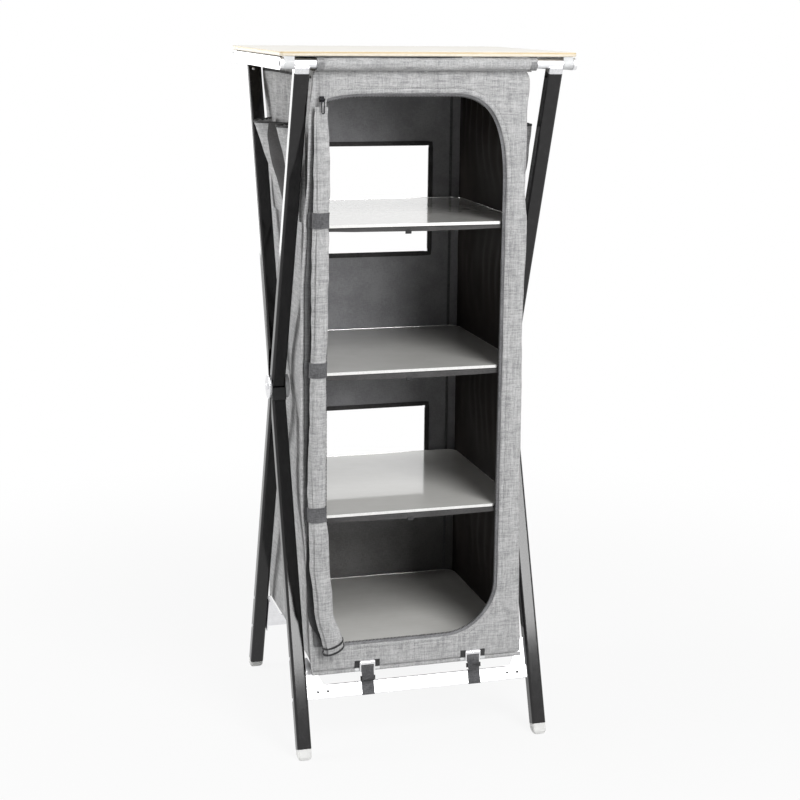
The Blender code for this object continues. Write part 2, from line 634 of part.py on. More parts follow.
def sleeve(name, y, parent):
    """The fabric tunnel around a rail, gathered into a ring at each end."""
    half = CABINET_HALF_WIDTH - SLEEVE_INSET
    inner = RAIL_RADIUS + SEAT_GAP
    neck = (RAIL_RADIUS + SLEEVE_RADIUS) / 2
    ring = SLEEVE_RING_LENGTH
    ends = [(0.0, neck), (ring * 0.25, SLEEVE_RING_RADIUS), (ring * 0.75, SLEEVE_RING_RADIUS), (ring, neck),
            (ring * 1.3, SLEEVE_RADIUS)]
    profile = [(-half + x, r) for x, r in ends] + [(half - x, r) for x, r in reversed(ends)]
    rings, bores = [], []
    for x, radius in profile:
        place = CABINET_SHIFT + x
        rings.append([Vector((place, y + u, RAIL_HEIGHT + v)) for u, v in circle(radius)])
        bores.append([Vector((place, y + u, RAIL_HEIGHT + v)) for u, v in circle(inner)])
    bm = bmesh.new()
    tube(bm, rings, bores)
    make(name, bm, GREY_FABRIC, parent)


def hem_rod():
    z = FRONT_BOTTOM - SEAT_GAP - HEM_ROD_RADIUS
    radius, ease = HEM_ROD_RADIUS, HEM_ROD_RADIUS / 3
    ends = (WALL_LEFT - HEM_ROD_OVERHANG, WALL_RIGHT + HEM_ROD_OVERHANG)
    profile = [(ends[0], radius - ease), (ends[0] + ease, radius), (ends[1] - ease, radius), (ends[1], radius - ease)]
    bm = bmesh.new()
    lathe_x(bm, profile, -CABINET_FRONT + radius, z, 16)
    make("hem_rod", bm, GREY_FABRIC)


# The rolled door from foot to top: share of its length, middle from the door's left edge, half width, half depth
ROLL_SHAPE = ((0.0, 0.0025, 0.0225, 0.0140), (0.085, -0.0190, 0.0212, 0.0150), (0.176, -0.0285, 0.0220, 0.0150),
              (0.339, -0.0350, 0.0208, 0.0145), (0.475, -0.0310, 0.0200, 0.0140), (0.656, -0.0275, 0.0192, 0.0138),
              (0.882, -0.0240, 0.0185, 0.0130), (1.0, -0.0235, 0.0165, 0.0045))


def roll_shape(z):
    """Middle x, half width and half depth of the roll at a height, eased between the shape's rows."""
    along = (z - ROLL_BOTTOM) / (ROLL_TOP - ROLL_BOTTOM)
    for low, high in zip(ROLL_SHAPE, ROLL_SHAPE[1:]):
        if along <= high[0]:
            break
    share = min(max((along - low[0]) / (high[0] - low[0]), 0.0), 1.0)
    share = share * share * (3.0 - 2.0 * share)
    offset, half, deep = (low[i] + (high[i] - low[i]) * share for i in (1, 2, 3))
    squeeze = sum(math.exp(-((z - tie) / TIE_HEIGHT) ** 2) for tie in TIE_HEIGHTS)
    tighter = 1.0 - ROLL_CINCH * min(squeeze, 1.0)
    return DOOR_LEFT + offset, half * tighter, deep * tighter


def roll_ring(z, grow, steps=20):
    """The roll's outline at a height, grown outwards by a distance."""
    middle, half, deep = roll_shape(z)
    back = -CABINET_FRONT - 2 * TIE_GAP - TIE_THICK
    ring = []
    for u, v in circle(1.0, steps):
        ring.append(Vector((middle + (half + grow) * u, back - deep + (deep + grow) * v, z)))
    return ring


def door_roll():
    heights = {ROLL_BOTTOM + (ROLL_TOP - ROLL_BOTTOM) * k / 12 for k in range(13)}
    for tie in TIE_HEIGHTS:
        near = [tie + TIE_HEIGHT * step / 2 for step in (-3, -2, -1, 0, 1, 2, 3)]
        heights = {z for z in heights if abs(z - tie) > 2 * TIE_HEIGHT} | set(near)
    bm = bmesh.new()
    loft(bm, [roll_ring(z, 0.0) for z in sorted(heights)])
    make("door_roll", bm, GREY_FABRIC)
    for number, tie in enumerate(TIE_HEIGHTS, 1):
        levels = [tie + TIE_HEIGHT * step / 2 for step in (-1, 0, 1)]
        bm = bmesh.new()
        tube(bm, [roll_ring(z, TIE_GAP + TIE_THICK) for z in levels], [roll_ring(z, TIE_GAP) for z in levels])
        make("roll_tie_%d" % number, bm, DARK_WEBBING)


def zip_parts():
    """The slider with two ears and a pin, and the pull that hangs from the pin."""
    front = -CABINET_FRONT - SEAT_GAP
    width, deep, tall = SLIDER_SIZE
    pin_y, pin_z = front - EAR_REACH + PULL_EYE_RADIUS, SLIDER_HEIGHT
    bm = bmesh.new()
    box(bm, (SLIDER_X - width / 2, front - deep, pin_z - tall / 2), (SLIDER_X + width / 2, front, pin_z + tall / 2))
    slider = make("zip_slider", bm, STEEL)
    outline = arc((pin_y, pin_z), (PULL_EYE_RADIUS, PULL_EYE_RADIUS), 90.0, 270.0)
    outline += [(front - deep / 2, pin_z - PULL_EYE_RADIUS), (front - deep / 2, pin_z + PULL_EYE_RADIUS)]
    for side in (-1, 1):
        ear = bmesh.new()
        inner = SLIDER_X + side * EAR_GAP / 2
        plate(ear, [outline], side * EAR_THICK, lambda y, z, w: Vector((inner + w, y, z)))
        boolean(slider, "UNION", tool("zip_ear_%s" % ("left" if side < 0 else "right"), ear))
    pin = bmesh.new()
    half = EAR_GAP / 2 + EAR_THICK / 2
    lathe_x(pin, [(SLIDER_X - half, PULL_PIN_RADIUS), (SLIDER_X + half, PULL_PIN_RADIUS)], pin_y, pin_z, 12)
    boolean(slider, "UNION", tool("zip_pin", pin))
    eye_half = EAR_GAP / 2 - RUN_GAP
    bm = bmesh.new()
    rings = []
    for radius in (PULL_EYE_RADIUS, PULL_PIN_RADIUS + RUN_GAP):
        ends = (SLIDER_X - eye_half, SLIDER_X + eye_half)
        rings.append([[Vector((x, pin_y + u, pin_z + v)) for u, v in circle(radius, 12)] for x in ends])
    tube(bm, *rings)
    pull = make("zip_pull", bm, BLACK_PLASTIC, None, (SLIDER_X, pin_y, pin_z))
    loop = bmesh.new()
    top = pin_z - PULL_PIN_RADIUS - 2 * RUN_GAP
    length = PULL_LENGTH - PULL_EYE_RADIUS
    outer = rounded_rect(PULL_WIDTH, length, PULL_WIDTH / 2 - 0.0001)
    inner = rounded_rect(PULL_WIDTH - 2 * PULL_BAND, length - 2 * PULL_BAND, PULL_WIDTH / 2 - PULL_BAND - 0.0001)
    centre = top - length / 2
    plate(loop, [outer, inner], PULL_THICK,
          lambda u, v, w: Vector((SLIDER_X + u, pin_y - PULL_THICK / 2 + w, centre + v)))
    boolean(pull, "UNION", tool("zip_pull_loop", loop))


def buckle(number, x):
    """A metal loop on the hem, with its strap in its window."""
    width, tall = BUCKLE_SIZE
    outer = rounded_rect(width, tall, BUCKLE_BAND * 1.2)
    inner = rounded_rect(width - 2 * BUCKLE_BAND, tall - 2 * BUCKLE_BAND, BUCKLE_BAND / 3)
    face = -CABINET_FRONT - SEAT_GAP - BUCKLE_THICK
    bm = bmesh.new()
    plate(bm, [outer, inner], BUCKLE_THICK, lambda u, v, w: Vector((x + u, face + w, BUCKLE_TOP - tall / 2 + v)))
    make("buckle_%d" % number, bm, STEEL)


def strap(number, x):
    """A webbing loop from the buckle, round the lower bar and back up behind it."""
    frame = leg_frame(0.0, -1)
    out = STRAP_THICK / 2 + SEAT_GAP
    half = LOWER_BAR_HEIGHT / 2 + out
    near, far = LOWER_BAR_FRONT + out, LOWER_BAR_FRONT - LOWER_BAR_THICK - out
    corners = [frame @ Vector((0.0, v, LOWER_BAR_DROP + s)) for s, v in
               ((-half, near), (half, near), (half, far), (-half, far))]
    face = -CABINET_FRONT - SEAT_GAP - BUCKLE_THICK / 2
    window = BUCKLE_TOP - BUCKLE_BAND - SEAT_GAP
    lower = BUCKLE_TOP - BUCKLE_SIZE[1]
    ahead = face - BUCKLE_THICK / 2 - out
    path = [Vector((0.0, face, window)), Vector((0.0, face, lower + 3 * BUCKLE_BAND)),
            Vector((0.0, ahead, lower + 2 * BUCKLE_BAND)), Vector((0.0, ahead, lower - out))] + corners
    bm = bmesh.new()
    rings = []
    for k, point in enumerate(path):
        before, after = path[max(k - 1, 0)], path[min(k + 1, len(path) - 1)]
        run = (after - before).normalized()
        across = Vector((1.0, 0.0, 0.0)).cross(run) * STRAP_THICK / 2
        side = Vector((STRAP_WIDTH / 2, 0.0, 0.0))
        middle = Vector((x, point.y, point.z))
        rings.append([middle - side - across, middle + side - across, middle + side + across, middle - side + across])
    loft(bm, rings)
    make("strap_%d" % number, bm, DARK_WEBBING)


def pocket_swell(share, y):
    """How far a pocket stands out at a share of its height: two lobes side by side."""
    lobe = abs(math.sin(math.pi * y / POCKET_HALF_SPAN)) ** 0.7
    return POCKET_TOE + (POCKET_TOE / 3 + POCKET_FLARE * share ** 1.2) * lobe


def pocket(side):
    """Two pouches side by side on a side wall, open at the top."""
    name = "left" if side < 0 else "right"
    wall = (WALL_LEFT if side < 0 else WALL_RIGHT) + side * SEAT_GAP
    low = POCKET_TOP - POCKET_DEPTH
    across = 20
    ys = [POCKET_HALF_SPAN * (2.0 * k / across - 1.0) for k in range(across + 1)]
    bm = bmesh.new()
    rings = []
    for k in range(7):
        share = k / 6
        z = low + POCKET_DEPTH * share
        ring = [Vector((wall + side * pocket_swell(share, y), y, z)) for y in ys]
        rings.append(ring + [Vector((wall, ys[-1], z)), Vector((wall, ys[0], z))])
    loft(bm, rings)
    pouch = make("pocket_" + name, bm, GREY_FABRIC)
    for lobe in (-1, 1):
        hollow = bmesh.new()
        inner = [lobe * POCKET_HALF_SPAN * (0.06 + 0.88 * k / 10) for k in range(11)]
        rings = []
        for share in (0.15, 0.35, 0.6, 0.8, 1.05):
            z = low + POCKET_DEPTH * share
            ring = []
            for y in inner:
                swell = pocket_swell(min(share, 1.0), y) - POCKET_SHEET
                ring.append(Vector((wall + side * max(swell, 2 * POCKET_SHEET), y, z)))
            back = wall + side * POCKET_SHEET
            rings.append(ring + [Vector((back, inner[-1], z)), Vector((back, inner[0], z))])
        loft(hollow, rings)
        boolean(pouch, "DIFFERENCE", tool("pocket_%s_hollow_%s" % (name, "front" if lobe < 0 else "back"), hollow))


# Start from an empty scene
for old in list(bpy.data.objects):
    bpy.data.objects.remove(old, do_unlink=True)

# Materials
TOOL_SKIN = skin("tool", (0.8, 0.2, 0.2), 0.5)
BOARD_SKIN = skin("top_board", (0.86, 0.80, 0.68), 0.45)
SILVER = skin("silver_tube", (0.78, 0.78, 0.79), 0.28, 1.0)
BLACK_TUBE = skin("black_tube", (0.030, 0.029, 0.030), 0.30, 0.35)
BLACK_PLASTIC = skin("black_plastic", (0.045, 0.045, 0.048), 0.50)
PALE_PLASTIC = skin("pale_plastic", (0.70, 0.71, 0.71), 0.40)
CLEAR_PLASTIC = skin("foot_plastic", (0.80, 0.80, 0.79), 0.30)
GREY_FABRIC = skin("grey_fabric", (0.50, 0.50, 0.50), 0.90)
DARK_FABRIC = skin("dark_fabric", (0.065, 0.065, 0.070), 0.85)
DARK_WEBBING = skin("dark_webbing", (0.13, 0.13, 0.135), 0.85)
SHELF_SHEET = skin("shelf_sheet", (0.52, 0.52, 0.49), 0.35)
STEEL = skin("steel", (0.80, 0.80, 0.80), 0.22, 1.0)

# Holders on the joints' axes
frame_a = empty("frame_a_axis", PIVOT)
frame_b = empty("frame_b_axis", PIVOT)

# Top board, which lifts off
slab("top_board", (0.0, 0.0, TOTAL_HEIGHT), (BOARD_WIDTH, BOARD_DEPTH, BOARD_THICK), BOARD_CORNER, BOARD_EDGE,
     BOARD_SKIN, (0.0, 0.0, BOARD_BOTTOM))

# Frame A carries the front rail and stands at the back; frame B carries the back rail and stands in front
for label, lean, holder, rail_y in (("front", 1, frame_a, -RAIL_SPREAD), ("back", -1, frame_b, RAIL_SPREAD)):
    rail(label + "_rail", rail_y, holder)
    sleeve(label + "_sleeve", rail_y, holder)
    other = "back" if label == "front" else "front"
    lower_bar("lower_bar_" + other, lean, holder)
    for side, end in ((-1, "left"), (1, "right")):
        stub = BAR_PIN_RADIUS if label == "front" else RAIL_RADIUS
        rail_cap("rail_cap_%s_%s" % (label, end), side, rail_y, stub, holder)
        frame = leg_frame(side * LEG_X, lean)
        saddle("saddle_%s_%s" % (label, end), frame, rail_y, holder)
        foot("foot_%s_%s" % (other, end), frame, holder)
        bar_bracket("bar_bracket_%s_%s" % (other, end), side, lean, holder)

# Legs: A runs straight through the hub, B is two halves held by the hub's cheeks
for side, end in ((-1, "left"), (1, "right")):
    frame = leg_frame(side * LEG_X, 1)
    leg_a = leg_tube("leg_a_" + end, frame, (LEG_START, LEG_END), frame_a)
    hole = bmesh.new()
    lathe_x(hole, [(side * (LEG_X + x), BOLT_RADIUS + RUN_GAP) for x in (-LEG_WIDTH, LEG_WIDTH)], 0.0, HUB_HEIGHT, 16)
    boolean(leg_a, "DIFFERENCE", tool("leg_a_hole_" + end, hole))
    frame = leg_frame(side * LEG_X, -1)
    upper = leg_tube("leg_b_upper_" + end, frame, (LEG_START, 0.0), frame_b)
    boolean(upper, "DIFFERENCE", bevel_tool("upper_bevel_" + end, frame, -1))
    lower = leg_tube("leg_b_lower_" + end, frame, (0.0, LEG_END), frame_b)
    boolean(lower, "DIFFERENCE", bevel_tool("lower_bevel_" + end, frame, 1))
    hub(side, frame_b)
    collar(side, frame, frame_b)
    side_bar("side_bar_" + end, side, frame_a)

# Fabric cabinet
cabinet_walls()
front_panel()
back_panel()
hem_rod()
shelves()
for number, height in enumerate(SHELF_HEIGHTS[:-1], 1):
    sling(number, height)
door_roll()
zip_parts()
for number, x in enumerate(STRAP_CENTRES, 1):
    buckle(number, x)
    strap(number, x)
for side in (-1, 1):
    pocket(side)
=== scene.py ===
# %% [markdown]
# # A folding camping cupboard
# The cupboard is a fabric cabinet that hangs in a folding frame of black tubes. Its rigid parts come from a
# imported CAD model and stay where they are. This lesson gives them real finishes, and makes the cloth, the
# webbing, the stitches and the small metal parts that a plain solid can't show.
# Everything is in metres. X runs to the right, Y to the back and Z up.

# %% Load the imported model
import math

import bmesh
import bpy
from mathutils import Matrix, Vector, noise


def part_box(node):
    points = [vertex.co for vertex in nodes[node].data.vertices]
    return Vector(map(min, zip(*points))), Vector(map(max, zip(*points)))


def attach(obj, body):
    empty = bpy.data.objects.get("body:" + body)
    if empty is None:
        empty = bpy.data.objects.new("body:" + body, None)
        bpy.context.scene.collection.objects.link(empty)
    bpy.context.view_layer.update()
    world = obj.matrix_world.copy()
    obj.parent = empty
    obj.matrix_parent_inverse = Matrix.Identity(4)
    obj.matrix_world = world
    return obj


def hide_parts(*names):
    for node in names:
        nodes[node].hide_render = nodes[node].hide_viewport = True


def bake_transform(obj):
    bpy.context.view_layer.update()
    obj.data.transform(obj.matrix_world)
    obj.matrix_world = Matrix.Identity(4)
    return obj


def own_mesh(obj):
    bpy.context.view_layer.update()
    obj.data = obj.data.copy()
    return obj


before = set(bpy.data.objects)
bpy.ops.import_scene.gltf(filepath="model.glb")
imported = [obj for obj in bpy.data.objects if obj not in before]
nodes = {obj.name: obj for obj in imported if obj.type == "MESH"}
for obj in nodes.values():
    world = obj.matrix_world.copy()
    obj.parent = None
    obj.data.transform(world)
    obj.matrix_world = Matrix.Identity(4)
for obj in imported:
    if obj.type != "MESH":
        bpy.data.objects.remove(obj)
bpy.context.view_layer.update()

# %% [markdown]
# ## A way to write node trees
# A finish is a tree of nodes, and so is a rule that repeats stitches along a seam. Wiring each node by hand
# is slow to read. Here one class stands for an output, so that sums on it read as a formula, and one method
# adds any node with its settings and its inputs. The same two classes serve both kinds of tree.

# %% Wires and graphs


class Wire:
    """One output in a node tree. Sums on it add Math nodes, also where the number comes first."""

    def __init__(self, graph, socket):
        self.graph = graph
        self.socket = socket

    def work(self, operation, first, second):
        return self.graph.node("ShaderNodeMath", {"operation": operation}, {0: first, 1: second})

    def __add__(self, other):
        return self.work("ADD", self, other)

    __radd__ = __add__

    def __sub__(self, other):
        return self.work("SUBTRACT", self, other)

    def __rsub__(self, other):
        return self.work("SUBTRACT", other, self)

    def __mul__(self, other):
        return self.work("MULTIPLY", self, other)

    __rmul__ = __mul__

    def __gt__(self, other):
        return self.work("GREATER_THAN", self, other)

    def __lt__(self, other):
        return self.work("LESS_THAN", self, other)


class Graph:
    """A node tree under construction."""

    def __init__(self, tree):
        self.tree = tree

    def node(self, kind, settings=None, sockets=None, output=0):
        """Adds one node and gives one of its outputs, if it has any."""
        made = self.tree.nodes.new(kind)
        for key, value in (settings or {}).items():
            setattr(made, key, value)
        for key, value in (sockets or {}).items():
            if isinstance(value, Wire):
                self.tree.links.new(value.socket, made.inputs[key])
            else:
                made.inputs[key].default_value = value
        return Wire(self, made.outputs[output]) if made.outputs else None


# %% [markdown]
# ## Colours and a starting point for every finish
# Colours in a photograph are counted from 0 to 255 on a curve. Blender works with light that adds up, so
# each colour is straightened first. Every finish then starts from one Principled shader, and only what
# changes over a surface is wired to it: colour, roughness and bump. The rest are plain numbers.

# %% Colours and finishes


def screen(red, green, blue):
    """A colour as a screen shows it, as the linear colour that Blender works in."""
    shares = [value / 255 for value in (red, green, blue)]
    return tuple(s / 12.92 if s <= 0.04045 else ((s + 0.055) / 1.055) ** 2.4 for s in shares) + (1.0,)


class Finish(Graph):
    """A material under construction. Patterns lie on Object coordinates, in metres."""

    def __init__(self, name):
        self.material = bpy.data.materials.new(name)
        self.material.use_nodes = True
        super().__init__(self.material.node_tree)
        self.tree.nodes.clear()
        self.place = self.node("ShaderNodeTexCoord", output="Object")

    def stretched(self, x, y, z):
        """The place, counted faster or slower along each axis."""
        return self.node("ShaderNodeMapping", None, {"Vector": self.place, "Scale": (x, y, z)})

    def grain(self, x, y, z, detail=2.0, rough=0.5):
        """Soft noise from 0 to 1 with so many features in a metre along each axis."""
        sizes = {"Vector": self.stretched(x, y, z), "Scale": 1.0, "Detail": detail, "Roughness": rough}
        return self.node("ShaderNodeTexNoise", None, sizes)

    def mix(self, share, first, second):
        """One colour turning into another as share goes from 0 to 1."""
        return self.node("ShaderNodeMix", {"data_type": "RGBA"}, {0: share, 6: first, 7: second}, 2)

    def between(self, value, low, high):
        """0 below low, 1 above high, and a smooth climb between them."""
        sockets = {"Value": value, "From Min": low, "From Max": high}
        return self.node("ShaderNodeMapRange", {"interpolation_type": "SMOOTHSTEP"}, sockets)

    def bump(self, height, distance, strength=1.0):
        sockets = {"Height": height, "Distance": distance, "Strength": strength}
        return self.node("ShaderNodeBump", None, sockets)

    def done(self, **sockets):
        """Ends the tree in a Principled shader with these sockets."""
        inputs = {}
        for key, value in sockets.items():
            inputs[key.replace("_", " ").title().replace("Ior", "IOR")] = value
        self.shown_as(self.node("ShaderNodeBsdfPrincipled", None, inputs, "BSDF"))
        return self.material

    def shown_as(self, surface):
        """Ends the tree in this shader."""
        self.node("ShaderNodeOutputMaterial", None, {"Surface": surface})


print("A mid grey of 128 on screen is %.3f in light" % screen(128, 128, 128)[0])

# %% [markdown]
# ## Grey melange cloth
# The cabinet's cloth is woven from dark and pale yarns spun together, so close up it is a mesh of short
# streaks along both thread directions, and from afar an even grey with a soft mottle. A photograph of cloth
# would be the quick way, but it would repeat. Two stretched noises, one for each thread direction, give the
# streaks at their true scale, a wider one gives the mottle, and the same threads lift the surface.

# %% Melange cloth


def melange(name, dark, pale):
    """A cloth woven from dark and pale yarns."""
    cloth = Finish(name)
    upright = cloth.grain(1300, 1300, 150, 1.0, 0.5)
    across = cloth.grain(150, 150, 1300, 1.0, 0.5)
    ribs = cloth.grain(26, 26, 330, 2.0, 0.6)
    slubs = cloth.grain(330, 330, 22, 2.0, 0.6)
    mottle = cloth.grain(38, 38, 38, 2.0, 0.5)
    yarn = upright * 0.5 + across * 0.5
    tone = cloth.between(yarn * 0.40 + ribs * 0.26 + slubs * 0.22 + mottle * 0.12, 0.38, 0.62)
    fine = cloth.grain(1500, 1500, 1500, 1.0)
    colour = cloth.mix(tone, dark, pale)
    return cloth.done(
        base_color=colour,
        roughness=0.92,
        sheen_weight=0.12,
        sheen_roughness=0.5,
        normal=cloth.bump(yarn + fine * 0.3, 0.0008, 0.55),
    )


GREY_CLOTH = melange("grey_melange_cloth", screen(138, 138, 139), screen(196, 196, 196))
# A darker copy of the grey: painted shade on the strip beside the roll, and the colour of the back's seam
# tapes
PAINTED_SHADE_AND_SEAM_CLOTH = melange("grey_shade_cloth", screen(84, 84, 85), screen(116, 116, 117))
RING_CLOTH = melange("grey_ring_cloth", screen(114, 114, 115), screen(156, 156, 157))
print("Melange cloths:", [kind.name for kind in (GREY_CLOTH, PAINTED_SHADE_AND_SEAM_CLOTH, RING_CLOTH)])

# %% [markdown]
# ## Dark lining, webbing and binding
# The linings, the ties, the straps and the floors under the shelves are plain polyester, most of it dark. It
# has the same weave at a smaller scale and almost no mottle, so one function with other colours makes them
# all. Webbing is thicker and gets a stronger bump. The back's lining is a lighter grey. Towards its foot it
# is painted darker, as painted shade for the little light that comes in through the door there.

# %% Dark cloths


def dark_cloth(name, dark, pale, threads, height, shine=0.4, foot=None):
    """A plain dark weave. foot gives the two colours of a back cloth's lowest part: painted shade."""
    cloth = Finish(name)
    upright = cloth.grain(threads, threads, threads / 6, 1.0)
    across = cloth.grain(threads / 6, threads / 6, threads, 1.0)
    cloudy = cloth.grain(18, 18, 18, 3.0)
    weave = upright * 0.5 + across * 0.5
    tone = cloth.between(weave * 0.6 + cloudy * 0.4, 0.36, 0.64)
    colour = cloth.mix(tone, dark, pale)
    # Painted shade: a back cloth's lowest part gets darker colours, for the shade at its foot
    if foot:
        level = cloth.node("ShaderNodeSeparateXYZ", None, {0: cloth.place}, "Z")
        colour = cloth.mix(cloth.between(level, 0.30, 0.42), cloth.mix(tone, *foot), colour)
    return cloth.done(
        base_color=colour,
        roughness=0.82,
        specular_ior_level=shine,
        sheen_weight=0.04,
        normal=cloth.bump(weave, height, 0.6),
    )


LINING = dark_cloth("dark_lining", screen(33, 29, 27), screen(44, 39, 36), 900, 0.0004, 0.1)
# Sling cloth; also the dark sheet in the pockets' groove, which is painted shade
SLING_AND_PAINTED_SHADE_CLOTH = dark_cloth("dark_sling_cloth", screen(60, 59, 59), screen(80, 79, 79), 900, 0.0005)
# The back's lining: its foot colours are painted shade
BACK_LINING_WITH_PAINTED_SHADE = dark_cloth("back_lining", screen(146, 146, 149), screen(170, 170, 173), 900, 0.0005,
                         foot=(screen(100, 99, 98), screen(120, 119, 118)))
TAPE = dark_cloth("zip_tape_cloth", screen(104, 104, 106), screen(140, 140, 142), 800, 0.0005)
WEBBING = dark_cloth("dark_webbing", screen(66, 66, 68), screen(104, 104, 106), 700, 0.0009)
# Dark binding; also the near-black strip beside the roll, which is painted shadow
BINDING_AND_PAINTED_SHADOW = dark_cloth("dark_binding", screen(40, 40, 41), screen(60, 60, 61), 800, 0.0006)
print("Plain cloths:", [kind.name for kind in (LINING, SLING_AND_PAINTED_SHADE_CLOTH, BACK_LINING_WITH_PAINTED_SHADE, TAPE, WEBBING, BINDING_AND_PAINTED_SHADOW)])

# %% [markdown]
# ## Powder-black tube
# The legs are drawn tubes with a smooth black coat. They mirror the bright room softly, which is what makes
# their rounded corners readable. An even roughness would look like glass, so faint drawing lines along the
# tube and a little dust vary it.

# %% Black tube


def black_tube():
    coat = Finish("black_tube_coat")
    lines = coat.grain(900, 900, 14, 2.0)
    dust = coat.grain(60, 60, 60, 4.0, 0.65)
    colour = coat.mix(coat.between(dust, 0.45, 0.75), screen(20, 19, 20), screen(30, 29, 30))
    return coat.done(
        base_color=colour,
        roughness=lines * 0.05 + dust * 0.04 + 0.06,
        normal=coat.bump(lines, 0.00002, 0.5),
        specular_ior_level=0.42,
    )


BLACK_TUBE = black_tube()
print("Tube:", BLACK_TUBE.name)

# %% [markdown]
# ## Bright metals
# The rails and lower bars are brushed aluminium: the brush leaves long streaks along X. The saddles, buckles
# and bolt heads are smoother steel, with a few scuffs, and the zip's slider and the rivets are dark. They
# differ only in colour, in the streaks' length and in roughness, so one function has these three settings.

# %% Metals


def bright_metal(name, colour, streaks, roughness):
    """A brushed or scuffed metal. streaks counts its lines in a metre along X, Y and Z."""
    metal = Finish(name)
    lines = metal.grain(*streaks, 3.0, 0.6)
    scuffs = metal.grain(90, 90, 90, 4.0, 0.7)
    tone = metal.between(scuffs * 0.5 + lines * 0.5, 0.35, 0.7)
    duller = tuple(0.86 * c for c in colour[:3]) + (1.0,)
    return metal.done(
        base_color=metal.mix(tone, colour, duller),
        metallic=1.0,
        roughness=lines * 0.14 + scuffs * 0.08 + (roughness - 0.10),
        normal=metal.bump(lines, 0.00006, 0.5),
    )


ALUMINIUM = bright_metal("brushed_aluminium", screen(240, 240, 242), (12, 900, 900), 0.30)
STEEL = bright_metal("bright_steel", screen(232, 232, 234), (300, 300, 300), 0.20)
DARK_METAL = bright_metal("dark_metal", screen(30, 30, 32), (300, 300, 300), 0.26)
print("Metals:", [kind.name for kind in (ALUMINIUM, STEEL, DARK_METAL)])

# %% [markdown]
# ## Moulded plastics
# Moulded parts have a fine, even grain from the mould. The feet are a milky, slightly see-through kind. A
# plain colour would look like paint, so the colour drifts a little and tiny pores break up the reflections.

# %% Plastics


def plastic(name, dark, pale, roughness, see_through=0.0):
    """A moulded plastic. see_through is the share of light that goes through it."""
    moulded = Finish(name)
    pores = moulded.grain(1600, 1600, 1600, 2.0)
    flow = moulded.grain(70, 70, 70, 3.0)
    return moulded.done(
        base_color=moulded.mix(moulded.between(flow, 0.3, 0.7), dark, pale),
        roughness=pores * 0.12 + (roughness - 0.06),
        transmission_weight=see_through,
        normal=moulded.bump(pores, 0.0001, 0.5),
    )


# Black plastic; also the dark strip under the top board, which is painted shadow
BLACK_PLASTIC_AND_PAINTED_SHADOW = plastic("black_plastic", screen(36, 36, 37), screen(46, 46, 47), 0.45)
PALE_PLASTIC = plastic("pale_plastic", screen(196, 197, 198), screen(212, 213, 214), 0.40)
FOOT_PLASTIC = plastic("milky_plastic", screen(240, 240, 238), screen(250, 250, 248), 0.30, 0.25)
print("Plastics:", [kind.name for kind in (BLACK_PLASTIC_AND_PAINTED_SHADOW, PALE_PLASTIC, FOOT_PLASTIC)])

# %% [markdown]
# ## Shelf boards and the top board
# The shelves are thin boards with a pale satin sheet on both sides. A fine grain runs along X, and a clear
# coat over it mirrors the bright room. The top board is a nearly white laminate. Its edge shows two layers,
# a warm one above and a paler one below. They could be three materials on three sets of faces, but one
# finish that tells them apart by height needs no change to the mesh.

# %% Boards


def shelf_sheet():
    sheet = Finish("satin_shelf_sheet")
    lines = sheet.grain(9, 700, 700, 3.0, 0.6)
    wear = sheet.grain(24, 24, 24, 4.0, 0.6)
    tone = sheet.between(lines * 0.6 + wear * 0.4, 0.34, 0.66)
    return sheet.done(
        base_color=sheet.mix(tone, screen(244, 243, 238), screen(251, 250, 246)),
        metallic=0.04,
        roughness=lines * 0.10 + wear * 0.06 + 0.14,
        normal=sheet.bump(lines, 0.00005, 0.4),
        coat_weight=1.0,
        coat_roughness=0.05,
    )


CORE_SHARE = 0.58
FOIL_THICK = 0.0006


def laminate(low, high):
    """The top board between two heights: a paler core, a warm layer above it and a thin foil on top."""
    board = Finish("pale_laminate")
    height = board.node("ShaderNodeSeparateXYZ", None, {0: board.place}, "Z")
    rings = board.grain(5, 42, 42, 5.0, 0.62)
    pores = board.grain(30, 900, 900, 2.0)
    wood = board.mix(board.between(rings, 0.36, 0.64), screen(202, 180, 138), screen(220, 203, 168))
    wood = board.mix(board.between(pores, 0.62, 0.74) * 0.35, wood, screen(196, 168, 124))
    layers = board.between(board.grain(90, 90, 500, 2.0), 0.3, 0.7)
    core = board.mix(layers, screen(210, 200, 180), screen(222, 213, 196))
    edge = board.mix(height > low + CORE_SHARE * (high - low), core, wood)
    foil = board.mix(board.between(rings, 0.34, 0.66), screen(240, 236, 226), screen(248, 245, 238))
    foil = board.mix(board.between(pores, 0.60, 0.76) * 0.20, foil, screen(222, 212, 192))
    return board.done(
        base_color=board.mix(height > high - FOIL_THICK, edge, foil),
        roughness=rings * 0.12 + 0.30,
        normal=board.bump(pores, 0.00012, 0.5),
    )


SHELF_SHEET = shelf_sheet()
SHELF_EDGE = bright_metal("bright_shelf_edge", screen(248, 248, 246), (12, 900, 900), 0.22)
board_low, board_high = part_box("top_board")
LAMINATE = laminate(board_low.z, board_high.z)
print("The top board is %.1f mm thick" % (1000 * (board_high.z - board_low.z)))

# %% [markdown]
# ## Dress the CAD nodes
# A rigid CAD node keeps its mesh, and only its material slots change. The finish could be chosen for each of
# the nodes by hand, but the first words of a node's name are enough to tell what it is made of.

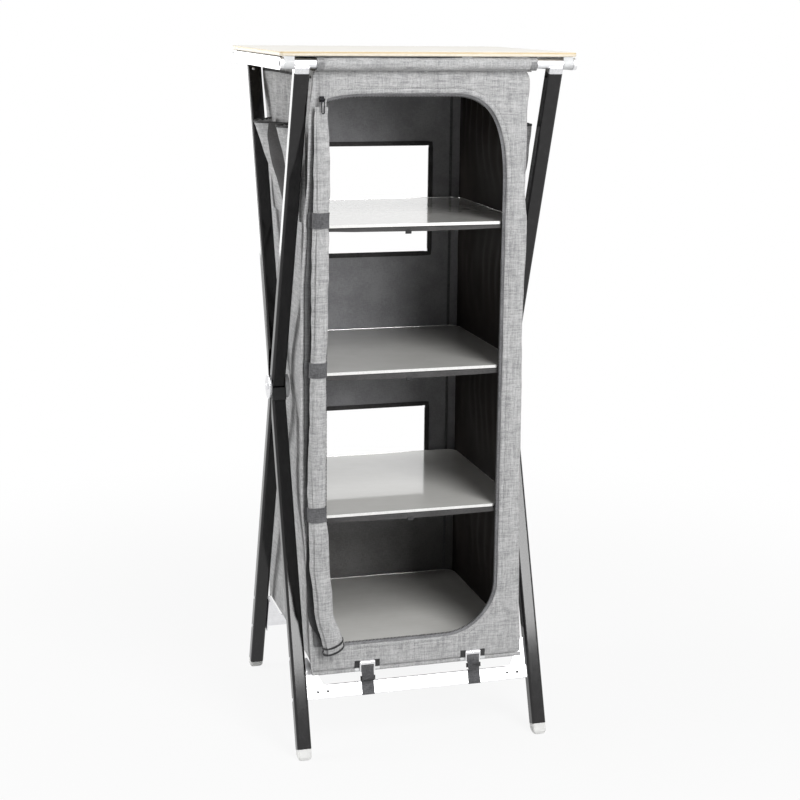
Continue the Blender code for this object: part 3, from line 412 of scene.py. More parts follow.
# %% Materials on the CAD nodes
NODE_FINISHES = {
    "top_board": LAMINATE,
    "shelf_board": SHELF_SHEET,
    "leg_": BLACK_TUBE,
    "front_rail": ALUMINIUM,
    "back_rail": ALUMINIUM,
    "lower_bar": ALUMINIUM,
    "saddle": STEEL,
    "hub_disc": STEEL,
    "hub_boss": PALE_PLASTIC,
    "hub_collar": BLACK_PLASTIC_AND_PAINTED_SHADOW,
    "rail_cap": PALE_PLASTIC,
    "side_bar": ALUMINIUM,
    "bar_bracket": ALUMINIUM,
    "foot": FOOT_PLASTIC,
    "buckle": STEEL,
    "zip_slider": DARK_METAL,
    "zip_pull": DARK_METAL,
}
for name, node in nodes.items():
    for start, finish in NODE_FINISHES.items():
        if name.startswith(start):
            if not node.material_slots:
                node.data.materials.append(finish)
            for slot in node.material_slots:
                slot.material = finish
print("Finishes on", len(NODE_FINISHES), "kinds of node")

# %% [markdown]
# ## Helpers for cloth
# Most of the cabinet is cloth, and every sheet is made the same way: rows of points give its outer face, one
# subdivision rounds it, and Solidify gives it a real thickness on the inner side, so that it is a closed
# body with a hem you can see. Folds come from smooth noise in the row functions, which costs nothing and is
# the same on every run. The modifiers are then worked out for good, so each piece ends as a plain mesh.

# %% Pieces and their modifiers


def add_piece(name, mesh, finish):
    """A new object at the origin, with its place in its mesh."""
    piece = bpy.data.objects.new(name, mesh)
    bpy.context.scene.collection.objects.link(piece)
    mesh.materials.clear()
    mesh.materials.append(finish)
    return piece


def settle(piece, sharp=40.0):
    """Works out a piece's modifiers, so that it ends as a plain mesh, smooth but for its sharp edges."""
    view = bpy.context.evaluated_depsgraph_get()
    mesh = bpy.data.meshes.new_from_object(piece.evaluated_get(view), depsgraph=view)
    piece.modifiers.clear()
    piece.data = mesh
    mesh.shade_smooth()
    mesh.set_sharp_from_angle(angle=math.radians(sharp))
    return piece


def facing_out(mesh, outward):
    """Turns the faces over if most of them look against the outward direction."""
    total = 0.0
    for face in mesh.polygons:
        aim = outward(face.center) if callable(outward) else Vector(outward)
        total += face.area * face.normal.dot(aim)
    if total < 0:
        mesh.flip_normals()


# %% Sheets from rows of points


def grid_mesh(name, rows, ring=False, outward=(0, 0, 1)):
    """A mesh from rows of points. In a ring, each row closes on itself."""
    wide = len(rows[0])
    faces = []
    for r in range(len(rows) - 1):
        for c in range(wide if ring else wide - 1):
            d = (c + 1) % wide
            faces.append((r * wide + c, r * wide + d, (r + 1) * wide + d, (r + 1) * wide + c))
    mesh = bpy.data.meshes.new(name)
    mesh.from_pydata([tuple(point) for row in rows for point in row], [], faces)
    mesh.update()
    facing_out(mesh, outward)
    return mesh


def thicken(piece, thick):
    """Gives a sheet its thickness, on its inner side."""
    wall = piece.modifiers.new("thickness", "SOLIDIFY")
    wall.thickness = thick
    wall.offset = -1.0
    return settle(piece)


def cloth(name, rows, finish, thick=0.0016, ring=False, outward=(0, 0, 1)):
    """A sheet whose outer face goes through the rows."""
    piece = add_piece(name, grid_mesh(name, rows, ring, outward), finish)
    soft = piece.modifiers.new("round", "SUBSURF")
    soft.levels = 1
    soft.render_levels = 1
    return thicken(piece, thick)


def tell(*pieces):
    """Prints how many faces each piece has."""
    for piece in pieces:
        print("%s: %d faces" % (piece.name, len(piece.data.polygons)))


# %% Smooth noise and smooth steps


def soft_noise(x, y, z, size, seed=0.0):
    """Smooth noise from about -1 to 1 whose features are as wide as size."""
    return noise.noise(Vector((x / size + seed, y / size - seed, z / size + 2.7 * seed)))


def ease(low, high, value):
    """0 below low, 1 above high, and smooth between."""
    share = min(max((value - low) / (high - low), 0.0), 1.0)
    return share * share * (3.0 - 2.0 * share)


def through(table, value):
    """A smooth line through a few known places."""
    for (a, low), (b, high) in zip(table, table[1:]):
        if value <= b:
            break
    return low + (high - low) * ease(a, b, value)


def steps(low, high, count):
    """Even steps from low to high, both of them included."""
    return [low + (high - low) * k / count for k in range(count + 1)]


print("A quarter of the way up, a smooth climb has come to %.2f" % ease(0.0, 1.0, 0.25))

# %% [markdown]
# ## Front panel
# The front is one piece of cloth with a large D-shaped opening. A flat sheet with a hole cut through it
# would have ragged edges, so it is made as a set of rings between its outer edge and the opening, and the
# cloth follows both. The right edge is pulled in by the tension of the cloth, and a folded hem with a line
# of stitches runs round the opening. At the top the cloth puckers where it is gathered onto the rail's
# sleeve. The sizes come first. The two edges are lists of heights, each with the X of the edge there.

# %% Sizes of the cabinet
PANEL_TOP = 1.3991
LEFT, RIGHT = -0.2295, 0.2175
FRONT, BACK = -0.2345, 0.2315
ROOF, HEM, WALL_HEM = 1.3985, 0.1760, 0.1860
DOOR_LEFT, DOOR_RIGHT = -0.2065, 0.164
DOOR_LOW, DOOR_HIGH = 0.228, 1.355
LEFT_EDGE = [(0.150, -0.2325), (0.168, -0.2335), (0.228, -0.2370), (0.300, -0.2385), (0.400, -0.2455),
             (0.549, -0.2550), (0.755, -0.2562), (0.956, -0.2557), (1.100, -0.2490), (1.200, -0.2415),
             (1.300, -0.2395), (PANEL_TOP, -0.2310)]
RIGHT_EDGE = [(0.150, 0.2215), (0.1775, 0.2205), (0.300, 0.2150), (0.500, 0.2105), (0.760, 0.2090),
              (0.813, 0.2076), (0.866, 0.2058), (0.918, 0.2066), (0.969, 0.2078), (1.041, 0.2107),
              (1.100, 0.2107), (1.132, 0.2072), (1.155, 0.2045), (1.223, 0.2054), (1.322, 0.2054),
              (1.366, 0.2091), (1.386, 0.2084), (PANEL_TOP, 0.2000)]
# The heights of the shelves' upper faces
SHELVES = [1.099, 0.80299, 0.50698, 0.21097]
print("The opening is %.0f by %.0f mm" % (1000 * (DOOR_RIGHT - DOOR_LEFT), 1000 * (DOOR_HIGH - DOOR_LOW)))

# %% [markdown]
# ## Outline of the opening
# The opening has a round corner at its lower right, and a taller and fuller one at its upper right. A plain
# oval arc would cut that corner off too much. So the arc's two parts are raised to a power below 1, which
# fills the corner but keeps its ends where they are. The left side is straight, behind the rolled door.

# %% Outline of the opening
ARCH_POWER = 0.69
ARCH = (0.125, 0.205)
ARCH_POINTS = 22
FOOT_CORNER = 0.115
LEFT_CORNER = (0.095, 0.013)
EDGE_TOP = (-0.2310, 0.1985)
EDGE_FOOT = (-0.2345, 0.2207)


def line(start, end, count):
    """Points on a straight line, without the last."""
    return [(start[0] + (end[0] - start[0]) * k / count, start[1] + (end[1] - start[1]) * k / count)
            for k in range(count)]


def arc(centre, radii, start, end, count, power=1.0):
    """Points on an oval arc between two angles in degrees, without the last.

    A power under 1 fills the corner that the arc cuts off.
    """
    points = []
    for k in range(count):
        angle = math.radians(start + (end - start) * k / count)
        across, up = math.cos(angle), math.sin(angle)
        points.append((centre[0] + radii[0] * math.copysign(abs(across) ** power, across),
                       centre[1] + radii[1] * math.copysign(abs(up) ** power, up)))
    return points


def opening_sides(grow=0.0):
    """The opening's four sides from the top left corner clockwise, cut at the middle of each arc."""
    left, right = DOOR_LEFT - grow, DOOR_RIGHT + grow
    low, high = DOOR_LOW - grow, DOOR_HIGH + grow
    wide, tall, small = ARCH[0] + grow, ARCH[1] + grow, FOOT_CORNER + grow
    upper = (right - wide, high - tall)
    lower = (right - small, low + small)
    across, down = LEFT_CORNER
    top = arc((left + across, high - down), LEFT_CORNER, 180, 90, 16)
    top += line((left + across, high), (right - wide, high), 30)
    top += arc(upper, (wide, tall), 90, 45, ARCH_POINTS, ARCH_POWER)
    side = arc(upper, (wide, tall), 45, 0, ARCH_POINTS, ARCH_POWER)
    side += line((right, high - tall), (right, low + small), 76)
    side += arc(lower, (small, small), 0, -45, 12)
    foot = arc(lower, (small, small), -45, -90, 12)
    foot += line((right - small, low), (left, low), 30)
    back = line((left, low), (left, high - down), 100)
    return [top, side, foot, back]


def outline_side(which, share):
    """A place on the panel's outer edge: which side, and how far along it."""
    if which == 0:
        x = EDGE_TOP[0] + (EDGE_TOP[1] - EDGE_TOP[0]) * share
        return x, PANEL_TOP + 0.0008 * soft_noise(x, 0, 0, 0.02, 3.0)
    if which == 1:
        z = PANEL_TOP + (HEM - PANEL_TOP) * share
        return through(RIGHT_EDGE, z), z
    if which == 2:
        return EDGE_FOOT[1] + (EDGE_FOOT[0] - EDGE_FOOT[1]) * share, HEM
    z = HEM + (PANEL_TOP - HEM) * share
    return through(LEFT_EDGE, z) + 0.0010 * soft_noise(0, 0, z, 0.06, 5.0), z


print("Points round the opening:", [len(side) for side in opening_sides()])

# %% [markdown]
# ## Cloth of the front panel
# Seven small effects add up to the depth of the cloth at a place: folds, puckers at the top, the hem, the
# groove of its seam, a soft belly, the edge that turns back, and a trough beside the left edge. They could
# be sculpted by hand, but in a formula each of them can be changed by its own number.

# %% Cloth of the front panel
HEM_WIDTH = 0.0085
HEM_SEAM = 0.0095
RING_SHARES = [0.0, 0.03, 0.07, 0.13, 0.21, 0.30, 0.40, 0.50, 0.60, 0.68, 0.735, 0.77, 0.80, 0.84, 0.90,
               0.96, 1.0]


def front_depth(x, z, inwards, outwards):
    """How far the front cloth stands out at a place, given its distances to the opening and to the edge."""
    quiet = ease(-0.205, -0.165, x) * (0.15 + 0.85 * ease(0.196, 0.235, z))
    folds = 0.0022 * soft_noise(x, 0, z * 0.45, 0.030, 1.0)
    folds += 0.0012 * soft_noise(x * 0.7, 0, z, 0.016, 4.0)
    pucker = 0.0014 * math.sin(x * 250 + 3.0 * soft_noise(x, 0, 0, 0.05)) * ease(1.372, 1.398, z)
    hem = 0.0
    if inwards < HEM_WIDTH:
        hem = 0.0014 * math.sin(math.pi * max(inwards, 0.0) / HEM_WIDTH) ** 0.6
    groove = -0.0010 * math.exp(-((inwards - HEM_SEAM) / 0.0016) ** 2)
    turn = 0.0034 * (1.0 - ease(0.0, 0.006, outwards)) ** 2
    belly = 0.0022 * math.sin(math.pi * min(outwards / (inwards + outwards), 1.0))
    trough = 0.0045 * math.exp(-((x - through(LEFT_EDGE, z) - 0.0085) / 0.0050) ** 2) * ease(0.20, 0.30, z)
    return quiet * (folds + pucker) + hem + groove + belly * quiet - turn - trough


def front_panel_rows():
    """Rings from the panel's outer edge, at share 0, to the opening, at share 1."""
    rows = []
    for share in RING_SHARES:
        row = []
        for which, side in enumerate(opening_sides()):
            for k, (x, z) in enumerate(side):
                out_x, out_z = outline_side(which, k / len(side))
                width = math.hypot(x - out_x, z - out_z)
                place = (out_x + (x - out_x) * share, out_z + (z - out_z) * share)
                depth = front_depth(place[0], place[1], width * (1 - share), width * share)
                row.append((place[0], FRONT + 0.0004 - depth, place[1]))
        rows.append(row)
    return rows


front_panel = cloth("front_panel_cloth", front_panel_rows(), GREY_CLOTH, 0.0018, True, (0, -1, 0))
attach(front_panel, "cabinet")
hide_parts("front_panel")
tell(front_panel)

# %% [markdown]
# ## Side walls
# Each side wall is a tall sheet between the front and the back seam. Cloth hung from a bar falls in soft
# upright folds near the top and sags inwards between the shelves, where nothing holds it. The folds are
# therefore strongest at the top and between the shelf heights, and the sheet stays flat at each shelf. Near
# the top the rail pulls the left corner at the back outwards. That lean is a function of its own, because
# the back panel has to follow it, or a gap would open between the two. A dark lining lies inside each wall.

# %% Side walls


def wall_sag(y, z):
    """How far a side wall leans inwards at a place."""
    levels = [ROOF] + SHELVES
    hollow = 0.0
    for high, low in zip(levels, levels[1:]):
        if low < z < high:
            hollow = math.sin(math.pi * (z - low) / (high - low)) ** 2
    middle = math.cos(math.pi * y / 0.50)
    drape = 0.5 + 0.5 * math.sin(y * 118 + 5.0 * soft_noise(y, z, 0, 0.12, 2.0))
    fold = 0.0110 * drape * ease(1.20, 1.34, z) * (1.0 - 0.6 * ease(1.375, 1.396, z))
    small = 0.0016 * soft_noise(0, y, z * 0.4, 0.028, 6.0)
    climb = (z - 1.280) / 0.115
    if climb > 0.0:
        for far in (0.150, -0.185):
            offset = (y + 0.030 - (far + 0.030) * climb) / (0.010 + 0.010 * climb)
            fold += (0.0060 * math.exp(-offset * offset)
                     * ease(0.0, 0.25, climb) * ease(0.0, 0.2, 1.0 - climb))
    return (0.0085 * hollow * middle + 0.0032 * hollow * drape + small * hollow + fold) * middle


def corner_lean(z):
    """How far the left corner at the back is pulled outwards near the top."""
    return 0.0095 * ease(1.27, 1.39, z)


def wall_rows(side):
    """A side wall from its hem up. side is -1 on the left and 1 on the right."""
    rows = []
    outer = LEFT if side < 0 else RIGHT
    for z in steps(WALL_HEM, ROOF - 0.0006, 88):
        row = []
        for y in steps(FRONT + 0.0030, BACK - 0.0012, 48):
            x = outer - side * (0.0008 + wall_sag(y, z))
            if side > 0:
                pulled = RIGHT - through(RIGHT_EDGE, z)
                x -= pulled * (1.0 - ease(FRONT, FRONT + 0.046, y))
            else:
                pulled = LEFT - through(LEFT_EDGE, z)
                x -= pulled * (1.0 - ease(FRONT, FRONT + 0.070, y))
                x -= corner_lean(z) * ease(0.14, BACK, y)
            row.append((x, y, z))
        rows.append(row)
    return rows


for side, word in ((-1, "left"), (1, "right")):
    name = "side_wall_cloth" if side < 0 else "right_wall_cloth"
    wall = cloth(name, wall_rows(side), GREY_CLOTH, 0.0012, False, (side, 0, 0))
    inner_rows = [[(x - side * 0.0013, y, z) for x, y, z in row] for row in wall_rows(side)]
    lining = cloth("lining_" + word, inner_rows, LINING, 0.0005, False, (side, 0, 0))
    for piece, slot in ((wall, "grey_fabric"), (lining, "dark_fabric")):
        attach(piece, "cabinet")
    tell(wall, lining)

# %% [markdown]
# ## Roof and floor
# The roof and the floor close the cabinet above and below. The roof hangs a little in the middle and has a
# few soft waves. The floor lies flat, because the lowest shelf rests on it. Two flat boxes would look like
# cardboard, so both are sheets from one function, with a droop and a wave that may be nothing.

# %% Roof and floor panel
FLOOR_Z = 0.2045


def flat_rows(ripple, z, droop, seed):
    """A level sheet between the walls whose middle hangs by droop, with waves as high as ripple."""
    rows = []
    for y in steps(FRONT + 0.0030, BACK - 0.0030, 24):
        row = []
        for x in steps(LEFT + 0.0015, RIGHT - 0.0015, 24):
            middle = math.sin(math.pi * (x - LEFT) / (RIGHT - LEFT)) * math.cos(math.pi * y / 0.47)
            height = z - droop * abs(middle) + ripple * soft_noise(x, y, 0, 0.05, seed)
            row.append((x, y, height))
        rows.append(row)
    return rows


roof = cloth("roof_cloth", flat_rows(0.0012, ROOF - 0.0008, 0.006, 1.0), GREY_CLOTH, 0.0016)
floor_panel = cloth("floor_cloth", flat_rows(0.0, FLOOR_Z, 0.0, 2.0), LINING, 0.0018)
for piece, slot, rests in ((roof, "grey_fabric", "front_panel_cloth"),
                           (floor_panel, "dark_fabric", "side_wall_cloth")):
    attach(piece, "cabinet")
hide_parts("cabinet_walls")
tell(roof, floor_panel)

# %% [markdown]
# ## Back panel
# The back closes the cabinet, and it has two windows. They could be cut out with a boolean, which leaves a
# tangle of thin triangles. Here the back is a grid whose lines fall on the windows' edges, and the cells
# inside them are left out. A second layer just in front of it is the lining.

# %% Back panel
WINDOW_LEFT, WINDOW_RIGHT = -0.153, 0.141
WINDOWS = [(0.976, 1.216), (0.374, 0.614)]


def back_panel_mesh(name, inner):
    """The back as a grid with holes. inner is how far a layer lies towards the inside."""
    (upper_low, upper_high), (lower_low, lower_high) = WINDOWS
    xs = steps(LEFT + 0.0012, WINDOW_LEFT, 6)[:-1] + steps(WINDOW_LEFT, WINDOW_RIGHT, 22)
    xs = xs[:-1] + steps(WINDOW_RIGHT, RIGHT - 0.0012, 6)
    zs = steps(HEM + 0.004, lower_low, 14)[:-1] + steps(lower_low, lower_high, 16)[:-1]
    zs += steps(lower_high, upper_low, 26)[:-1] + steps(upper_low, upper_high, 16)[:-1]
    zs += steps(upper_high, ROOF - 0.0008, 14)
    points = []
    for z in zs:
        for x in xs:
            near = min(abs(z - shelf) for shelf in SHELVES)
            aside = max(WINDOW_LEFT - x, x - WINDOW_RIGHT, 0.0)
            beyond = min(math.hypot(aside, max(low - z, z - high, 0.0)) for low, high in WINDOWS)
            middle = math.sin(math.pi * (x - LEFT) / (RIGHT - LEFT))
            free = ease(0.0, 0.06, near) * ease(0.010, 0.060, beyond) * middle
            wave = 0.0032 * (1.0 + soft_noise(x, 0, z * 0.25, 0.045, 8.0))
            wave += 0.0008 * soft_noise(x, 0, z, 0.03, 9.0)
            lean = corner_lean(z) * (1.0 - ease(LEFT, LEFT + 0.050, x))
            points.append((x - lean, BACK - 0.0018 - inner + max(wave * free, 0.0), z))
    faces = []
    wide = len(xs)
    for r in range(len(zs) - 1):
        for c in range(wide - 1):
            x, z = (xs[c] + xs[c + 1]) / 2, (zs[r] + zs[r + 1]) / 2
            if WINDOW_LEFT < x < WINDOW_RIGHT and any(low < z < high for low, high in WINDOWS):
                continue
            faces.append((r * wide + c, r * wide + c + 1, (r + 1) * wide + c + 1, (r + 1) * wide + c))
    mesh = bpy.data.meshes.new(name)
    mesh.from_pydata(points, [], faces)
    mesh.update()
    facing_out(mesh, (0, 1, 0))
    return mesh


def back_layer(name, inner, thick, finish):
    """One layer of the back, without the points that are left inside its windows."""
    mesh = back_panel_mesh(name, inner)
    piece = add_piece(name, mesh, finish)
    sheet = bmesh.new()
    sheet.from_mesh(mesh)
    loose = [v for v in sheet.verts if not v.link_faces]
    print(name, "has", len(loose), "points inside its windows, which go")
    bmesh.ops.delete(sheet, geom=loose, context="VERTS")
    sheet.to_mesh(mesh)
    sheet.free()
    thicken(piece, thick)
    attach(piece, "cabinet")
    return piece


back_outside = back_layer("back_panel_cloth", 0.0, 0.0012, GREY_CLOTH)
back_layer("back_panel_lining", 0.0014, 0.0006, BACK_LINING_WITH_PAINTED_SHADE)
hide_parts("back_panel")

# %% [markdown]
# ## Bindings
# A binding is a narrow tape folded over a raw edge and sewn through. A curve with a bevel could draw it,
# but a bevel twists where the path turns. So one function carries a small cross section along a path and
# keeps its flat side along a direction that is given. It is used for the windows' bindings and the back's
# seams, for the zip tape, for pipings, straps and the rims of the shelves.

# %% Sweep a flat tape along a path


def swept(name, path, width, thick, finish, normal, ring=False, grow=0.0, rounded=False):
    """A tape or a round piping along a path: width lies across the path, thickness along the normal."""
    count = len(path)
    half, deep = width / 2, thick / 2
    section = [(-half, -deep), (-half * 0.5, -deep), (half * 0.5, -deep), (half, -deep),
               (half, deep), (half * 0.5, deep), (-half * 0.5, deep), (-half, deep)]
    if rounded:
        section = arc((0.0, 0.0), (half, deep), -180, 180, 10)
    wide = len(section)
    points = []
    for k, point in enumerate(path):
        here = Vector(point)
        before = Vector(path[(k - 1) % count] if ring else path[max(k - 1, 0)])
        after = Vector(path[(k + 1) % count] if ring else path[min(k + 1, count - 1)])
        run = (after - before).normalized()
        up = Vector(normal(here) if callable(normal) else normal).normalized()
        side = run.cross(up).normalized()
        up = side.cross(run).normalized()
        points += [here + side * u + up * (v + grow) for u, v in section]
    faces = []
    for r in range(count if ring else count - 1):
        s = (r + 1) % count
        for c in range(wide):
            d = (c + 1) % wide
            faces.append((r * wide + c, r * wide + d, s * wide + d, s * wide + c))
    if not ring:
        last = (count - 1) * wide
        faces.append(tuple(range(wide)))
        faces.append(tuple(last + c for c in reversed(range(wide))))
    mesh = bpy.data.meshes.new(name)
    mesh.from_pydata([tuple(p) for p in points], [], faces)
    mesh.update()
    centre_of = [Vector(p) for p in path]
    total = 0.0
    for face in mesh.polygons[: wide * min(count - 1, 6)]:
        middle = min(centre_of, key=lambda c: (c - face.center).length)
        total += face.normal.dot(face.center - middle)
    if total < 0:
        mesh.flip_normals()
    mesh.shade_smooth()
    mesh.set_sharp_from_angle(angle=math.radians(40))
    return add_piece(name, mesh, finish)


# %% Window bindings and the seams of the back


def window_path(low, high, grow):
    """A closed path round a window, so far outside its edge."""
    left, right = WINDOW_LEFT - grow, WINDOW_RIGHT + grow
    low, high = low - grow, high + grow
    loop = line((left, low), (right, low), 24) + line((right, low), (right, high), 20)
    loop += line((right, high), (left, high), 24) + line((left, high), (left, low), 20)
    return loop


for number, (low, high) in enumerate(WINDOWS, 1):
    for face, y in (("inside", 0.2268), ("outside", 0.2304)):
        path = [(x, y, z) for x, z in window_path(low, high, 0.0048)]
        name = "window_binding_%s_%d" % (face, number)
        binding = swept(name, path, 0.0102, 0.0010, SLING_AND_PAINTED_SHADE_CLOTH, (0, 1, 0), True)
        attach(binding, "cabinet")
        tell(binding)
for word, x in (("left", -0.205), ("right", 0.193)):
    path = [(x, 0.2262, z) for z in steps(0.215, 1.392, 60)]
    seam = swept("back_seam_tape_" + word, path, 0.006, 0.0009, PAINTED_SHADE_AND_SEAM_CLOTH, (0, 1, 0))
    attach(seam, "cabinet")
    tell(seam)

# %% [markdown]
# ## Zip tape
# One half of the zip is sewn round the opening. Its tape lies just behind the hem and faces mostly forward,
# leaning in a little towards the opening. It is swept along the same outline as the panel's edge, because a
# copy of that outline would have to be corrected whenever the opening changes.

# %% Zip tape
TAPE_Y = -0.2308


def zip_line(grow):
    """The opening's outline as one closed path. Its left side lies a little further out, behind the roll."""
    path = sum(opening_sides(grow), [])
    return [(x - 0.0052 * ease(0.0, 0.010, -0.194 - x), z) for x, z in path]


def tape_normal(point):
    """The tape faces the front and leans in towards the middle of the opening."""
    middle = Vector((-0.02, 0.0, min(max(point.z, 0.42), 1.12)))
    inwards = Vector((middle.x - point.x, 0.0, middle.z - point.z)).normalized()
    return Vector((0, -1, 0)) * 0.84 + inwards * 0.54


tape_path = [(x, TAPE_Y, z) for x, z in zip_line(-0.0018)]
zip_tape = swept("zip_tape", tape_path, 0.0082, 0.0008, TAPE, tape_normal, True)
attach(zip_tape, "cabinet")
tell(zip_tape)

# %% [markdown]
# ## Piping and top tapes
# A round piping is sewn into the left front edge, where the front and the side wall meet, and catches the
# light as one line. A narrow dark tape runs along the top of each side wall. Drawn by hand they could drift
# away from the cloth, so both are swept along paths from the functions that shape the cloth under them.

# %% Piping on the left front edge and along the walls' tops
edge_path = [(through(LEFT_EDGE, z), FRONT + 0.0006, z) for z in steps(0.180, 1.392, 120)]
edge_piping = swept("left_edge_piping", edge_path, 0.0048, 0.0048, GREY_CLOTH, (0, -1, 0), rounded=True)
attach(edge_piping, "cabinet")
tell(edge_piping)
for side, word in ((-1, "left"), (1, "right")):
    top_row = wall_rows(side)[-1]
    top_path = [(x + side * 0.0010, y, z - 0.0130) for x, y, z in top_row[3:-1]]
    top_tape = swept("wall_top_tape_" + word, top_path, 0.0050, 0.0012, BINDING_AND_PAINTED_SHADOW, (side, 0, 0))
    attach(top_tape, "cabinet")
    tell(top_tape)

# %% [markdown]
# ## Geometry Nodes for what repeats
# Stitches, zip teeth and rivets are one shape many times over, hundreds of times on the zip. Copying
# objects in a loop would be slow, so two small trees do it. The first walks along a path at an even pitch.
# The second puts a shape on loose points, turned to the way each point faces. Both end in Realize Instances
# and Set Material, so that the result is an ordinary mesh.

# %% Start and end of a tree


def start_tree(name, inputs):
    """A new tree with a geometry and these inputs, and a wire for each of them."""
    tree = bpy.data.node_groups.new(name, "GeometryNodeTree")
    tree.interface.new_socket("Geometry", in_out="INPUT", socket_type="NodeSocketGeometry")
    for label, kind in inputs:
        tree.interface.new_socket(label, in_out="INPUT", socket_type="NodeSocket" + kind)
    tree.interface.new_socket("Geometry", in_out="OUTPUT", socket_type="NodeSocketGeometry")
    graph = Graph(tree)
    graph.node("NodeGroupInput")
    source = tree.nodes[-1]
    return graph, {socket.name: Wire(graph, socket) for socket in source.outputs if socket.name}


def end_tree(graph, copies, material):
    """Turns the copies into one smooth mesh with its material."""
    real = graph.node("GeometryNodeRealizeInstances", None, {0: copies})
    smooth = graph.node("GeometryNodeSetShadeSmooth", None, {0: real})
    painted = graph.node("GeometryNodeSetMaterial", None, {0: smooth, "Material": material})
    graph.node("NodeGroupOutput", None, {0: painted})
    return graph.tree


# %% The repeated shapes and the two trees


def shape_nodes(graph, kind, size):
    """The shape that is repeated: a rounded stitch, a block, or a domed head."""
    if kind == "block":
        return graph.node("GeometryNodeMeshCube", None, {"Size": size}, "Mesh")
    around, rings = (6, 4) if kind == "stitch" else (14, 8)
    sphere = {"Segments": around, "Rings": rings, "Radius": 0.5}
    ball = graph.node("GeometryNodeMeshUVSphere", None, sphere, "Mesh")
    return graph.node("GeometryNodeTransform", None, {0: ball, "Scale": size})


def path_tree(kind):
    """Puts a shape along a path at an even pitch, each turned along the path and a little varied in size."""
    wanted = [("Pitch", "Float"), ("Size", "Vector"), ("Material", "Material")]
    graph, inputs = start_tree(kind + "s_along_path", wanted)
    curve = graph.node("GeometryNodeMeshToCurve", None, {0: inputs["Geometry"]})
    even = graph.node("GeometryNodeResampleCurve", {"mode": "LENGTH"}, {0: curve, "Length": inputs["Pitch"]})
    tangent = graph.node("GeometryNodeInputTangent")
    turned = graph.node("FunctionNodeAlignRotationToVector", {"axis": "X"}, {"Vector": tangent})
    vary = graph.node("FunctionNodeRandomValue", None, {2: 0.88, 3: 1.08, "Seed": 11}, 1)
    sockets = {0: even, 2: shape_nodes(graph, kind, inputs["Size"]), "Rotation": turned, "Scale": vary}
    copies = graph.node("GeometryNodeInstanceOnPoints", None, sockets)
    return end_tree(graph, copies, inputs["Material"])


def point_tree(kind):
    """Puts a shape on loose points, each turned to the way its point faces."""
    graph, inputs = start_tree(kind + "s_on_points", [("Size", "Vector"), ("Material", "Material")])
    points = graph.node("GeometryNodeMeshToPoints", None, {0: inputs["Geometry"]})
    aim = graph.node("GeometryNodeInputNamedAttribute", {"data_type": "FLOAT_VECTOR"}, {"Name": "facing"})
    turned = graph.node("FunctionNodeAlignRotationToVector", {"axis": "Z"}, {"Vector": aim})
    sockets = {0: points, 2: shape_nodes(graph, kind, inputs["Size"]), "Rotation": turned}
    copies = graph.node("GeometryNodeInstanceOnPoints", None, sockets)
    return end_tree(graph, copies, inputs["Material"])


STITCHES = path_tree("stitch")
TEETH = path_tree("block")
HEADS = point_tree("head")
print("Trees:", [tree.name for tree in (STITCHES, TEETH, HEADS)])

# %% Pieces made by the trees


def run_tree(piece, tree, **values):
    """Gives a piece a tree with these inputs, and keeps only the mesh that comes out."""
    modifier = piece.modifiers.new("repeat", "NODES")
    modifier.node_group = tree
    for item in tree.interface.items_tree:
        if item.in_out == "INPUT" and item.name in values:
            modifier[item.identifier] = values[item.name]
    return settle(piece, 30.0)


def along(name, path, tree, finish, pitch, size, body):
    """Repeats a tree's shape along an open path."""
    edges = [(k, k + 1) for k in range(len(path) - 1)]
    mesh = bpy.data.meshes.new(name)
    mesh.from_pydata(path, edges, [])
    piece = run_tree(add_piece(name, mesh, finish), tree, Pitch=pitch, Size=size, Material=finish)
    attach(piece, body)
    tell(piece)


def heads(name, places, finish, size, body):
    """Domed heads at places, each with the direction it faces."""
    mesh = bpy.data.meshes.new(name)
    mesh.from_pydata([tuple(place) for place, aim in places], [], [])
    facing = mesh.attributes.new("facing", "FLOAT_VECTOR", "POINT")
    for k, (place, aim) in enumerate(places):
        facing.data[k].vector = aim
    piece = run_tree(add_piece(name, mesh, finish), HEADS, Size=size, Material=finish)
    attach(piece, body)
    print("%s: %d heads" % (name, len(places)))


# %% [markdown]
# ## Teeth and stitches
# The zip's dark teeth stand on the tape's free edge, and a line of stitches holds the hem round the
# opening. A texture could draw both, but only real ones stand out from the cloth at its edge. The stitches'
# path takes its depth from the front panel's own function, so they lie in the groove of the seam.

# %% Zip teeth and the stitches round the opening
TEETH_Y = -0.2292
# The teeth end and start again at these points of the outline, since none show at its upper right corner
TEETH_END, TEETH_START = 62, 102
DARK_THREAD = plastic("dark_thread", screen(52, 52, 54), screen(70, 70, 72), 0.7)
teeth_line = zip_line(-0.0058)
teeth_path = [(x, TEETH_Y, z) for x, z in teeth_line[TEETH_START:] + teeth_line[:TEETH_END]]
along("zip_teeth", teeth_path, TEETH, BLACK_PLASTIC_AND_PAINTED_SHADOW, 0.0030, (0.0016, 0.0018, 0.0026), "cabinet")


def seam_round(grow):
    """A path round the opening on the face of the front cloth, so far out from the opening."""
    path = []
    for side in opening_sides(grow):
        for x, z in side:
            depth = front_depth(x, z, grow, 0.03) + 0.0002
            path.append((x, FRONT + 0.0004 - depth, z))
    return path + path[:1]


along("hem_stitches", seam_round(HEM_SEAM), STITCHES, DARK_THREAD, 0.0034, (0.0026, 0.0006, 0.0006),
      "cabinet")

# %% [markdown]
# ## Sleeves on the rails
# The roof's front and back edges are sewn into tunnels that slide over the rails. Where the tunnel ends it
# is hemmed, and it carries fine wrinkles along its length from the load. The CAD sleeve is a smooth tube.
# Moving its few points would give large dents only, so a finer tube is built here, ring by ring along the
# rail. Each sleeve goes with its rail.

